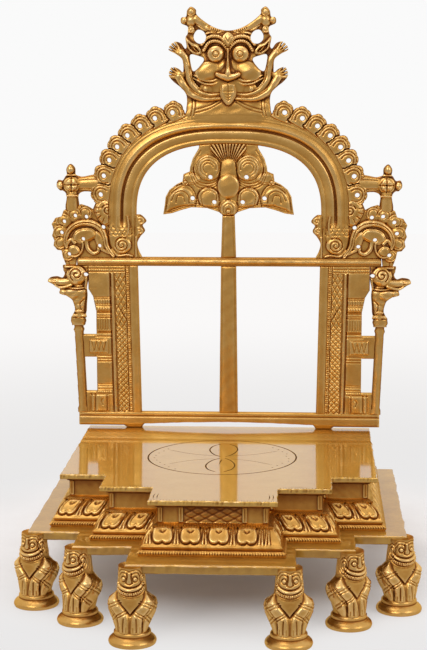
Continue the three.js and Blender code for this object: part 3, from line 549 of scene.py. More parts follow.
def brass(name, stops, rough, bumps, grain=(1, 1, 1), coat=None):
    """Brass that is darker where the patina attribute says that it lies in a recess; on the plinth the
    attribute also holds painted shade under the slab and painted light on the beading.
    """

    def shade(tree):
        where = node(tree, "ShaderNodeTexCoord").outputs["Object"]
        patina = node(tree, "ShaderNodeAttribute", attribute_name="patina").outputs["Fac"]
        broad = noise(tree, where, 55.0, 4.0, 0.6)
        fine = noise(tree, where, 420.0, 3.0, 0.55)
        stretched = node(tree, "ShaderNodeMapping", where, Scale=grain).outputs["Vector"]
        brushed = noise(tree, stretched, 900.0, 2.0)
        cloud = calculated(tree, "MULTIPLY_ADD", broad, 0.34, -0.17)
        speck = calculated(tree, "MULTIPLY_ADD", fine, 0.16, cloud)
        tone = calculated(tree, "SUBTRACT", calculated(tree, "ADD", patina, speck), 0.08)
        heights = calculated(tree, "ADD", fine, brushed)
        bump = node(tree, "ShaderNodeBump", Height=heights, Strength=bumps[0], Distance=bumps[1])
        values = {
            "Base Color": ramp(tree, tone, stops),
            "Metallic": 1.0,
            "Specular Tint": (1.0, 0.82, 0.5, 1),
            "Roughness": ranged(tree, tone, 0.1, 0.9, *rough),
            "Normal": bump.outputs["Normal"],
        }
        if coat:
            values |= {"Coat Weight": ranged(tree, patina, *coat), "Coat Roughness": 0.07, "Coat IOR": 1.6}
        return values

    return new_material(name, shade)


cast_brass = brass(
    "cast_brass",
    [
        (0.0, (0.76, 0.48, 0.19)),
        (0.24, (0.59, 0.325, 0.088)),
        (0.42, (0.48, 0.235, 0.052)),
        (0.66, (0.30, 0.118, 0.026)),
        (1.0, (0.14, 0.046, 0.014)),
    ],
    rough=(0.27, 0.55),
    bumps=(0.28, 0.00012),
)
polished_brass = brass(
    "polished_brass",
    [
        (0.0, (0.64, 0.39, 0.085)),
        (0.30, (0.56, 0.32, 0.055)),
        (0.50, (0.40, 0.205, 0.035)),
        (1.0, (0.10, 0.04, 0.012)),
    ],
    rough=(0.42, 0.6),
    bumps=(0.10, 0.00006),
    grain=(0.06, 1, 1),
    coat=(0.3, 0.8, 0.95, 0.0),
)


# Window frame


def build_sill():
    low = SLAB_TOP
    r = Relief(-FRAME_HALF, FRAME_HALF, low, SILL_TOP + LAP, 0.9, 0.42)
    foot, bow = 70.0, 3.3
    lower = [(-r.x[-1], low + 2), (-84, low + 2), (-82, low), (-foot, low), (-68, low + 2 + bow * 0.4)]
    middle = [(-35, low + 2 + bow * 0.8), (0, low + 2 + bow), (35, low + 2 + bow * 0.8)]
    upper = [(FRAME_HALF, SILL_TOP + LAP), (-FRAME_HALF, SILL_TOP + LAP)]
    r.body([*lower, *middle, *[(-x, z) for x, z in reversed(lower)], *upper], curved=False)
    z = r.Z - low
    r.h = np.interp(z, [0, 2, 3.6, 8.6, 9.4, 9.9, 10.5, 12.9], [0.4, 0.9, 1.5, 1.35, 0.5, 0.5, 1.25, 1.0])
    r.uneven(0.12, 40, 1)
    r.build("sill")


def build_transom():
    r = Relief(-FRAME_HALF, FRAME_HALF, TRANSOM_BOTTOM, TRANSOM_TOP, 0.9, 0.36)
    r.body([(-FRAME_HALF, 200), (FRAME_HALF, 200), (FRAME_HALF, 240), (-FRAME_HALF, 240)], curved=False)
    r.keep(z0=TRANSOM_BOTTOM, z1=TRANSOM_TOP)
    z = r.Z - TRANSOM_BOTTOM
    r.h = np.interp(
        z, [0, 1.2, 1.7, 2.3, 3.6, 5.0, 5.6, 6.2, 7], [0.6, 0.9, 0.75, 1.3, 1.7, 1.4, 0.8, 0.9, 0.6]
    )
    r.uneven(0.12, 35, 2)
    r.build("transom")


def build_mullions():
    for name, z0, z1, half0, half1 in (
        ("mullion_lower", SILL_TOP - LAP, TRANSOM_BOTTOM + LAP, 7.4, 6.0),
        ("mullion_upper", TRANSOM_TOP - LAP, ARCH_SPRING + LAP, 6.0, 4.8),
    ):
        r = Relief(-8, 8, z0, z1, 0.45, 1.0)
        r.body([(half0, z0 - 1), (half1, z1 + 1), (-half1, z1 + 1), (-half0, z0 - 1)], curved=False)
        half = np.interp(r.Z, [z0, z1], [half0, half1])
        r.h = 1.3 * np.sqrt(np.clip(1 - (np.abs(r.X) / (half + 0.6)) ** 4, 0, 1))
        r.h -= 0.3 * np.exp(-(((np.abs(r.X) - half + 1.5) / 0.4) ** 2))
        r.uneven(0.15, 30, 3)
        r.keep(z0=z0, z1=z1)
        r.build(name)


def build_jambs():
    z0, z1 = SILL_TOP - LAP, TRANSOM_BOTTOM + LAP
    r = Relief(JAMB_INNER - 1, 83, z0, z1, 0.42, 0.4)
    lean = JAMB_LEAN * (r.Z - SILL_TOP)
    u = r.X - JAMB_INNER - lean
    r.edge = np.minimum(u, JAMB_WIDTH + LAP - u)
    r.keep(z0=z0, z1=z1)
    flat = np.interp(u, [0, 1.2, 5.2, 6.2, 6.8, 7.3, 9.9], [0.8, 1.4, 1.25, 1.0, 0.2, 0.5, 0.4])
    rung = np.clip(np.cos(2 * math.pi * r.Z / 1.75) * 1.5, -0.5, 1) * 0.42
    r.h = flat + np.clip((u - 7.2) / 0.3, 0, 1) * np.clip((9.2 - u) / 0.3, 0, 1) * rung
    r.uneven(0.14, 26, 4)
    r.build("jamb", BOTH, wear=0.8)


def build_panels():
    z0, z1 = SILL_TOP - LAP, TRANSOM_BOTTOM + LAP
    r = Relief(79, 122, z0, z1, 0.42)
    low0, low1, high0, high1 = (SILL_TOP + rise for rise in (17, 45, 63, 100))
    lean = JAMB_LEAN * (r.Z - SILL_TOP)
    inner = JAMB_INNER + JAMB_WIDTH + lean
    edge = COLUMN_INNER + COLUMN_LEAN * (r.Z - SILL_TOP)
    head = PILASTER_HEAD
    shaft = np.interp(r.Z, [high1 - 18, high1 - 6, high1], [PILASTER_OUTER, PILASTER_OUTER + 2.4, head])
    outer = np.where(r.Z > high1, head, shaft)
    lights = ((r.Z > low0) & (r.Z < low1)) | ((r.Z > high0) & (r.Z < high1))
    wide = np.where(r.Z > high1, head, edge + LAP)
    r.edge = np.minimum(r.X - inner + 0.1, wide - r.X)
    for a, b in ((low0, low1), (high0, high1)):
        sill_to_head = np.minimum(r.Z - a, b - r.Z)
        r.edge = np.minimum(r.edge, -np.minimum(sill_to_head, r.X - np.where(lights, outer, PILASTER_OUTER)))
    r.keep(z0=z0, z1=z1)
    u = r.X - inner
    # Lattice of crossed cuts, wider towards the head, then a raised fillet
    rise = r.Z - SILL_TOP
    q = np.where(rise < 70, rise / 2.15, 70 / 2.15 + (rise - 70) / 3.6)
    p = (u - 4.6) / 2.1
    cross = np.minimum(np.abs(np.sin(math.pi * (p + q) / 2)), np.abs(np.sin(math.pi * (p - q) / 2)))
    lattice = 0.8 - 0.7 * np.exp(-((cross / 0.34) ** 2))
    grid = np.clip((u - 0.2) / 0.4, 0, 1) * np.clip((8.8 - u) / 0.4, 0, 1)
    r.h = grid * lattice
    left, right, foot, head_of_cross = inner[0, 0] + 1.2, inner[0, 0] + 9.6, high1 - 26, high1 - 13
    r.groove([(left, foot), (right, head_of_cross)], 0.45, 0.4, curved=False)
    r.groove([(left, head_of_cross), (right, foot)], 0.45, 0.4, curved=False)
    r.ridge([(PILASTER_INNER - 0.5, z0), (PILASTER_INNER + 1.9, z1)], 1.3, 1.25, 0.0, curved=False)
    # Pilaster: plain faces, framed at the head, with chased bands and two blocks
    start = PILASTER_INNER + 1.6
    flat = np.clip((r.X - start - JAMB_LEAN * rise) / 0.4, 0, 1)
    r.h = np.where(flat > 0, r.h * (1 - flat) + flat, r.h)
    right = PILASTER_OUTER
    a = start + 1.2
    for z in (low0 - 1.8, low0 + 0.6, low0 + 1.8, low0 + 4.4, low0 + 5.6, low1 - 3.4, low1 - 1.2, low1 + 1.2):
        r.groove([(a, z), (right + 0.5, z)], 0.42, 0.6, curved=False)
    bands = [high0 + rise for rise in (-1.4, 1.4, 2.6, 14, 15.4, 17.8, 19, 23.4, 24.6)]
    for z in (*bands, high1 - 8, high1 - 6.8):
        r.groove([(a, z), (right + 1, z)], 0.42, 0.65, curved=False)
    r.beads([(a + 0.6, high0 + 21.2), (right, high0 + 21.2)], 2.1, 0.85, 0.9, 0.9)
    r.ticks([(a, low0 - 0.6), (right, low0 - 0.6)], 1.7, 0.6, 0.5, curved=False)
    for x in np.arange(a + 0.6, right, 2.0):
        r.groove([(x, high0 + 4.4), (x, high0 + 12.4)], 0.38, 0.5, curved=False)
        r.groove([(x, high1 - 12), (x, high1 - 9.2)], 0.38, 0.5, curved=False)
    for low, high in ((SILL_TOP, low0 - 2), (low1 + 2, high0 - 2.6)):
        r.set_flat(start + 4, head - 0.6, low + 1, high - 1, 1.7)
    zig = [(start + 5.6 + 1.9 * j, low1 + (4.5 if j % 2 else high0 - low1 - 5.5)) for j in range(7)]
    r.groove(zig, 0.42, 0.6, curved=False)
    for z in (low1 + 3.4, high0 - 4.2):
        r.groove([(start + 5, z), (head - 1.4, z)], 0.42, 0.5, curved=False)
    for x, width in ((head - 4.6, 0.75), (head - 1.4, 0.75), (start + 5.2, 0.4)):
        r.groove([(x, SILL_TOP + 1.6), (x, low0 - 2.6)], width, 0.9, curved=False)
    r.groove(
        [(start + 8.6, SILL_TOP + 6), (start + 9.6, SILL_TOP + 9.4), (start + 8.4, SILL_TOP + 11)], 0.5, 0.7
    )
    for z in (z1 - 2.6, z1 - 5.0):
        r.groove([(a, z), (head - 0.8, z)], 0.42, 0.6, curved=False)
    r.ticks([(a, z1 - 3.8), (head - 0.8, z1 - 3.8)], 1.6, 0.6, 0.5, curved=False)
    r.groove([(a, z1 - 5), (a, high1 + 2)], 0.42, 0.5, curved=False)
    # A chased line runs along the foot and the head, over the lattice too
    band = np.clip((r.Z - z1 + 6.2) / 0.4, 0, 1) * np.clip((u - 0.3) / 0.4, 0, 1) * (1 - flat)
    r.h += band * (1.0 - r.h)
    r.ticks([(inner[-1, 0] + 1, z1 - 3.8), (a, z1 - 3.8)], 1.6, 0.6, 0.5, curved=False)
    for z in (z1 - 2.6, z1 - 5.0):
        r.groove([(inner[-1, 0] + 1, z), (a, z)], 0.42, 0.6, curved=False)
    r.ticks([(inner[0, 0] + 1, z0 + 1.6), (head, z0 + 1.6)], 1.6, 0.6, 0.5, curved=False)
    r.uneven(0.16, 22, 5)
    r.build("panel", BOTH, wear=0.7)


def build_columns():
    z0, z1 = SILL_TOP - LAP, CAPITAL_TOP + LAP
    r = Relief(110, 128, z0, z1, 0.42, 0.7)
    lean = COLUMN_LEAN * (r.Z - SILL_TOP)
    centre = COLUMN_INNER + COLUMN_WIDTH / 2 + lean
    half = np.interp(
        r.Z, [103, 106, 108, 168, 170, 172, 173.4, 174, 180.4], [4.4, 4.2, 3.4, 3.4, 4.2, 3.5, 3.6, 5.5, 5.6]
    )
    half = half + 0.5 * np.exp(-(((r.Z - 177) / 1.2) ** 2)) - 0.35 * np.exp(-(((r.Z - 174.6) / 0.7) ** 2))
    r.edge = half - np.abs(r.X - centre)
    r.keep(z0=z0, z1=z1)
    around = np.clip(1 - ((r.X - centre) / (half + 0.2)) ** 2, 0, 1)
    r.h = np.sqrt(around) * np.where(r.Z > 173.6, 3.4, 2.4) - 0.2
    r.uneven(0.12, 25, 6)
    r.build("column", BOTH)


# Arch


def arch_point(angle, offset):
    power = 2 / ARCH_POWER
    x = (ARCH_HALF + offset) * math.sin(angle) ** power
    return x, ARCH_SPRING + (ARCH_RISE + offset) * max(0.0, math.cos(angle)) ** power


def arch_offset(X, Z):
    """How far outside the arch's inner edge each point lies."""
    x, z = np.abs(X), np.maximum(Z - ARCH_SPRING, 0)
    low, high = np.full(X.shape, -50.0), np.full(X.shape, 80.0)
    for _ in range(22):
        middle = (low + high) / 2
        out = (x / (ARCH_HALF + middle)) ** ARCH_POWER + (z / (ARCH_RISE + middle)) ** ARCH_POWER > 1
        low, high = np.where(out, middle, low), np.where(out, high, middle)
    return (low + high) / 2


def arch_moulding(o):
    """Height of the arch's mouldings at an offset from its inner edge."""
    profile = [
        (0, 1.2), (1.0, 1.7), (3.0, 1.9), (4.0, 1.4), (5.0, 1.6), (7.6, 1.8), (9.6, 1.7), (10.4, 1.2),
        (11.0, 0.1), (11.7, 0.2), (12.6, 1.8), (13.8, 2.7), (15.2, 2.9), (17.4, 2.1), (18.2, 1.8),
        (19.4, 1.9), (20.2, 1.6), (21.0, 1.7), (22.4, 1.5)
    ]
    return np.interp(o, *zip(*profile))


def neck_plate(X, Z):
    """Height of the mask's neck plate, which runs down over the outer mouldings at the apex."""
    return 0.3 + 2.6 * np.sqrt(np.clip(1 - (X / 36) ** 2 - ((Z - 342) / 15) ** 2, 0.25, 1))


def build_arch():
    outer = ARCH_HALF + ARCH_BAND
    r = Relief(-outer, outer, ARCH_SPRING - LAP, ARCH_TOP, 0.5)
    o = arch_offset(r.X, r.Z)
    r.edge = np.minimum(o, ARCH_BAND + LAP - o)
    r.keep(z0=ARCH_SPRING - LAP)
    r.uneven(0.22, 30, 7)
    # The ends run into the makaras' breasts without an edge
    r.h *= np.clip((r.Z - ARCH_SPRING - 1) / 10, 0, 1)
    r.h += arch_moulding(o)
    r.ease = 0.9 * np.clip((ARCH_SPRING + 2.0 - r.Z) / 1.4, 0, 1)
    apex = np.exp(-((r.X / 28) ** 6)) * np.clip((o - 14.8) / 2.4, 0, 1)
    r.h += apex * (neck_plate(r.X, r.Z) - r.h)
    r.ease = np.maximum(r.ease, 0.9 * apex)
    r.build("arch", wear=0.75)


def build_crest():
    r = Relief(18, 138, ARCH_SPRING - 6, 366, 0.4)
    root = ARCH_BAND + 0.1
    inner, outer = ([arch_point(a, root + out) for a in np.linspace(0.27, 1.52, 30)] for out in (-2, 4.8))
    r.body([*inner, *outer[::-1]], curved=False)
    # A leaf is a flame that leans towards the apex, with small scallops along its outer edge.
    # Its middle lies this far above its root
    middle = 5.5
    flame = [
        (7.6, -0.8), (8.8, 3.0), (8.6, 7.0), (7.0, 10.4), (4.2, 13.0), (0.6, 14.6), (-3.0, 14.8),
        (-6.2, 13.0), (-8.0, 9.8), (-8.5, 6.2), (-8.2, 2.4), (-7.6, -0.8)
    ]
    shape = smooth(flame, steps=8)
    bearing = np.unwrap(np.arctan2(shape[:, 1] - middle, shape[:, 0]))
    out = shape - (0, middle)
    out /= np.hypot(*out.T)[:, None]
    shape = shape + 0.9 * out * (np.abs(np.sin(bearing * 4.0)) ** 0.6 - 0.6)[:, None] * (shape[:, 1:] > 4)
    loops = (
        [
            (6.4, 0.2), (7.2, 4.2), (6.4, 8.4), (3.6, 11.6), (-0.6, 12.9), (-4.4, 11.8), (-6.6, 8.6),
            (-6.9, 4.6), (-6.0, 1.0)
        ],
        [
            (4.0, 1.2), (5.1, 4.6), (4.4, 8.2), (1.8, 10.4), (-1.4, 10.7), (-4.0, 8.8), (-4.8, 5.6),
            (-3.8, 2.4)
        ],
    )
    r.h[:] = 0.7
    places = []
    for angle in np.linspace(0.34, 1.45, 8):
        x0, z0 = arch_point(angle, root)
        x1, z1 = arch_point(angle, root + 10)
        places.append((x0, z0, math.degrees(math.atan2(z1 - z0, x1 - x0)) - 90))
    for x0, z0, tilt in places:
        path = np.array(turned(shape, x0, z0, tilt))
        r.body(path, curved=False)
        # Each leaf lies over the root of the one nearer to the apex
        w = r.near(path, 1.5)
        r.h[w] = np.where(signed(r.X[w], r.Z[w], path) > -0.4, 0.7, r.h[w])
        r.leaf(path, 2.2, floor=0.7, rounding=2.4, curved=False)
        for loop in loops:
            r.groove(turned(loop, x0, z0, tilt), 0.48, 0.85)
        centre = turned([(0, middle)], x0, z0, tilt)[0]
        for share in range(5):
            r.groove(ray(*centre, tilt + 22.5 * (share + 1.5), 7.4, 9.6), 0.42, 0.5, curved=False)
    for x0, z0, tilt in places:
        r.hole(*turned([(0.4, 6.6)], x0, z0, tilt)[0], 1.9)
    r.edge = np.minimum(r.edge, arch_offset(r.X, r.Z) - ARCH_BAND + 1.4)
    r.keep(z0=ARCH_SPRING - 1)
    r.build("crest", BOTH, wear=0.75)


def build_brackets():
    top = ARCH_SPRING + LAP
    r = Relief(63, 76, TRANSOM_TOP - LAP, top, 0.38)
    z = TRANSOM_TOP
    r.body([
        (76, z - 1), (76, top + 1), (72.6, top + 1), (68.5, z + 32.8), (65.2, z + 28.6), (68.2, z + 25.2),
        (66.4, z + 20.8), (70, z + 16.4), (72.6, z + 11), (71.4, z + 5), (69, z - 1)
    ])
    r.keep(x1=74.6, z0=TRANSOM_TOP - LAP, z1=top)
    r.h[:] = 0.8
    r.leaf(
        [
            (74, z + 17), (74, z + 34), (69, z + 33), (65.4, z + 28.8), (68.4, z + 25), (66.6, z + 20.6),
            (70.4, z + 16.6)
        ],
        1.6, (1.2,), 0.2, 1.6
    )
    r.ridge(coil(69.6, z + 28.6, 3.2, 1.1, 60), 0.8, 0.9, 1.4, curved=False)
    r.ridge(coil(70.2, z + 20.8, 2.8, 1.1, 60), 0.75, 0.9, 1.4, curved=False)
    r.ridge([(73.4, z), (73.6, z + 8), (73.2, z + 16)], 0.9, 0.9, 0.8)
    r.build("bracket", BOTH)


def build_makaras():
    inner = 74.3
    r = Relief(inner - 0.2, 146, TRANSOM_BOTTOM, 277, 0.38)
    tail = [
        (74, 228), (100, 228), (121, 228), (121.6, 222), (129.6, 221.8), (132, 229), (133, 233.6),
        (136.4, 234), (139.4, 237.6), (138.6, 241.6), (140.4, 245.4), (139, 250), (140.6, 254.6),
        (137.6, 259.4), (132.6, 260.6), (131, 265.4), (126.2, 268.4), (121.4, 267.6), (117.4, 270.4),
        (112, 268.8), (107.6, 266.4), (105, 272.4), (98.4, 276.2), (91.8, 273), (90, 262), (74, 262.4)
    ]
    r.body(tail, curved=False)
    r.h[:] = 0.5
    # Spreading tail: pierced leaves with two lines round each, outside a big double scroll
    for x, z, size, lean in (
        (113.6, 263.4, 6.6, 96), (122.4, 262.4, 6.8, 66), (131.2, 257.6, 7.0, 28), (134, 248.4, 6.6, 0),
        (133.4, 239.8, 6.0, -26), (127.8, 230.2, 6.0, -60)
    ):
        r.dome(x, z, size, size * 0.92, 2.0, 0.4)
        for radius in (size * 0.86, size * 0.58):
            r.ring(x, z, radius, 0.42, 0.7, (lean - 112, lean + 112))
        for a in (-36, -12, 12, 36):
            r.groove(ray(x, z, lean + a, size * 0.92, size * 1.3), 0.38, 0.7, curved=False)
    big = [
        (128.4, 236.4), (129.6, 242), (127, 249.2), (121, 254.4), (113.6, 256.2), (106, 254.8),
        (100.6, 250.4), (98, 244), (96.4, 237), (91.4, 229.6)
    ]
    r.ridge(big, [1.4, 2.2, 2.6, 2.8, 2.6, 2.2, 1.5], 2.4, 1.0)
    r.groove(big, 0.42, 0.9)
    r.leaf(
        [
            (124.6, 243), (121, 249.8), (113.4, 252.2), (107, 251), (103.8, 245.4), (107.6, 242.6),
            (112.6, 240.2), (117, 238.8), (121, 240)
        ],
        2.4, (1.1,), 0.6, 2.8
    )
    r.ridge([(128, 239.4), (125.2, 242.6), (122, 240)], 1.5, 1.4, 1.4)
    # Jaw below it, and the curled leaf in its mouth
    r.leaf(
        [
            (127.6, 233.4), (126.6, 237.2), (122.4, 238.4), (118.6, 236), (117.4, 231.8), (120.8, 229.2),
            (125.6, 229.6)
        ],
        2.4, (1.2,), 0.6, 2.2
    )
    r.ridge([(126, 229.8), (121, 229.2), (117, 232.4), (115.6, 237.6), (116.4, 243)], 0.9, 1.3, 1.8)
    r.ridge(
        [(113.2, 241.4), (111.8, 235.4), (107.6, 231.8), (103.6, 233.2), (103.4, 238)], [2.0, 1.8, 1.6, 1.1],
        1.8, 1.0
    )
    r.leaf(
        [(104.8, 249.6), (99.8, 246), (98, 240), (99, 233.8), (102.8, 235.2), (105.4, 240.6), (106.6, 245.6)],
        2.2, (1.0,), 0.9, 1.8
    )
    r.ridge([(100.6, 235), (96, 232.4), (90.4, 229.6)], [1.6, 1.2, 0.7], 1.6, 0.9)
    # Round boss of leaves at the foot of the arch
    r.leaf(
        [
            (90.6, 264.6), (91, 271.6), (96.6, 275.4), (103, 272.6), (106.4, 266), (103.4, 258.4),
            (98.6, 253.2), (93, 256)
        ],
        2.4, (1.1,), 0.5, 3.0
    )
    r.dome(95.4, 266.4, 6.6, 6.8, 2.2, 1.8)
    r.groove(coil(95.4, 266.2, 5.0, 1.7, 20), 0.5, 1.1, curved=False)
    for share in range(8):
        r.groove(ray(95.4, 266.2, -170 + 26 * share, 7.0, 10.4), 0.42, 0.8, curved=False)
    # Scaled breast with its collar, and the whorl under it
    r.dome(86, 247, 9.4, 17, 2.6, 0.4)
    for row in range(3):
        for column in range(5):
            x = 78.4 + 3.7 * column + (1.85 if row % 2 else 0)
            r.ring(x, 253.4 - 2.8 * row, 1.9, 0.36, 0.35, (180, 360))
    r.uneven(0.15, 12, 35)
    share = np.clip((r.Z - 250) / 9, 0, 1) * (r.X < ARCH_HALF + ARCH_BAND)
    r.h += share**2 * (3 - 2 * share) * (arch_moulding(r.X - ARCH_HALF) - 0.04 - r.h)
    r.ease = 0.9 * np.clip((r.Z - ARCH_SPRING + 2.0) / 1.4, 0, 1) * (r.X < ARCH_HALF + ARCH_BAND)
    r.ridge(
        [(80, 262), (79, 254), (80, 247.4), (83.4, 244.6), (87, 247.4), (88.4, 254), (88, 262)], 0.9, 1.0, 2.0
    )
    r.dome(84.4, 238.4, 7.4, 6.8, 2.2, 1.4)
    r.groove(coil(84.4, 238.4, 6.4, -2.0, 120), 0.48, 0.9, curved=False)
    r.ridge([(76.4, 229.6), (80.6, 230.6), (88, 230), (92.6, 234.6)], 1.0, 1.4, 0.8)
    for x, z in (
        (121.6, 261.4), (112.8, 260.6), (130.4, 256.8), (132.6, 248), (99.4, 252.4), (102.4, 237.6),
        (115.4, 243), (126.8, 230.8)
    ):
        r.hole(x, z, 1.6)
    r.edge = np.minimum(r.edge, np.where(r.Z > ARCH_SPRING, arch_offset(r.X, r.Z) - ARCH_BAND + LAP, 99))
    r.edge = np.minimum(r.edge, np.where(r.X < FRAME_HALF + 0.2, r.Z - TRANSOM_TOP + LAP, 99))
    r.build("makara", BOTH, wear=0.8)


def build_finials():
    r = Relief(100, 143, 262, 304, 0.4)
    x, z = 124.0, ARCH_SPRING + 24
    at = moved(x, z)
    r.body(
        at([
            (-5, -20), (5, -20), (4.2, -9), (6.8, -5), (9.6, -4.6), (12.2, -1), (11, 3.4), (7.4, 3.2),
            (5, 6.6), (3.8, 8), (4.2, 12.4), (1.2, 16.2), (-2.4, 13), (-2.8, 8), (-5.6, 6.6), (-9, 6.2),
            (-16, 7.6), (-23, 8), (-23, -7), (-16, -5.8), (-9, -5.6), (-4.8, -9)
        ])
    )
    r.h[:] = 0.4
    # Pot neck and its collar, the knobs round the rosette and the arm to the crest
    r.ridge(at([(0, -20), (0, -7)]), 4.4, 2.6, 0.2, curved=False)
    r.ridge(at([(-5, -8.6), (5, -8.6)]), 1.1, 3.0, 0.4, curved=False)
    r.ridge(at([(-6, 0.4), (-23, 0.6)]), [4.6, 6.6], 2.2, 0.2, curved=False)
    r.groove(at([(-7, 3.6), (-14, 4.2), (-21, 4.4)]), 0.42, 0.7)
    r.groove(at([(-7, -3), (-14, -3), (-21, -3.4)]), 0.42, 0.7)
    r.dome(x + 0.8, z + 12, 3.0, 3.9, 3.2, 0.4)
    r.ridge(at([(-2.8, 7.6), (4, 7.6)]), 0.9, 2.2, 0.6, curved=False)
    r.dome(x + 9.2, z - 0.6, 2.9, 2.9, 3.0, 0.4)
    r.dome(x, z, 6.8, 6.6, 4.4, 0.6)
    for a in (45, 135, 225, 315):
        r.dome(*ray(x, z, a, 2.9)[0], 1.8, 1.8, 1.1, 4.0)
        r.groove(ray(x, z, a + 45, 0, 5.6), 0.45, 0.8, curved=False)
    r.ring(x, z, 5.3, 0.45, 0.7)
    r.edge = np.minimum(r.edge, arch_offset(r.X, r.Z) - ARCH_BAND - 9)
    r.build("finial", BOTH, rounding=1.3)


def build_yalis():
    r = Relief(106, 146, CAPITAL_TOP - LAP, TRANSOM_BOTTOM + LAP, 0.36)
    m, z = 120.4, CAPITAL_TOP
    at = moved(m, z)
    r.body(
        at([
            (-5.6, -1), (5.2, -1), (4.0, 2.4), (2.6, 6), (3.2, 10.4), (5, 14.6), (8.6, 17.4), (10.6, 18),
            (14.6, 19.4), (14.4, 22.6), (18, 25), (20.4, 26.6), (23.6, 28.6), (22.4, 31.6), (17, 32.6),
            (12.6, 31.6), (10.4, 35), (11.4, 38.4), (10, 43), (-8.6, 43), (-8.4, 31), (-7, 24), (-7.4, 18),
            (-6.8, 10), (-6.6, 5.4), (-6, 2.4)
        ])
    )
    r.keep(x0=PILASTER_HEAD + 0.2, z0=CAPITAL_TOP - LAP, z1=TRANSOM_BOTTOM + LAP)
    r.h[:] = 0.6
    # Tapering leg, round belly with its girdle, breast and shoulder
    r.ridge(at([(-1.4, -1), (-1.6, 6), (-1, 13), (-0.4, 20)]), [3.6, 3.6, 5.2, 7.4], 3.2, 0.4)
    r.dome(m + 4, z + 19.6, 8.8, 5.4, 3.4, 1.0, 14)
    r.groove(at([(-6.4, 23.2), (0, 22.4), (7, 23.2), (13, 22.4)]), 0.5, 1.2)
    r.groove(at([(-6.4, 25.2), (0, 24.6), (7, 25.4), (12, 25.6)]), 0.45, 1.0)
    r.groove(at([(-5, 14.6), (-2, 11), (-3.4, 4)]), 0.45, 0.8)
    r.dome(m + 11.4, z + 20.4, 3.8, 3.0, 2.6, 1.4)
    # Head with its curls, snout that curls up, and the arm that reaches out
    r.dome(m + 1.0, z + 33.6, 8.0, 8.0, 4.2, 0.8)
    r.groove(coil(m + 0.6, z + 35, 5.6, 1.5, -60), 0.5, 1.1, curved=False)
    r.ring(m + 0.4, z + 34.6, 7.2, 0.45, 0.8, (10, 150))
    r.ridge(at([(6, 28.6), (11.6, 28.2), (17, 28.8), (22.6, 29.8)]), [3.6, 3.2, 2.8, 1.8], 2.8, 0.8)
    r.ridge(at([(5.2, 26.4), (9.6, 24.6), (14.4, 24.4), (17.6, 26)]), [1.6, 1.6, 1.4, 1.0], 2.2, 1.4)
    for lift in (28.6, 30.2, 31.6):
        r.groove(at([(17.4, lift - 0.4), (23.2, lift)]), 0.4, 0.8, curved=False)
    r.ridge(at([(-6.8, 24), (-7, 31), (-5.4, 37), (0, 41), (9, 41)]), 1.3, 1.3, 1.4)
    r.ridge(at([(-5.6, 1.8), (4.2, 1.8)]), 1.5, 1.8, 1.6, curved=False)
    r.ridge(at([(-3.6, 5.4), (1.6, 5.4)]), 0.8, 1.0, 3.2, curved=False)
    r.hole(m - 6.4, z + 34.4, 1.7)
    r.uneven(0.15, 10, 9)
    r.build("yali", BOTH, rounding=1.4)


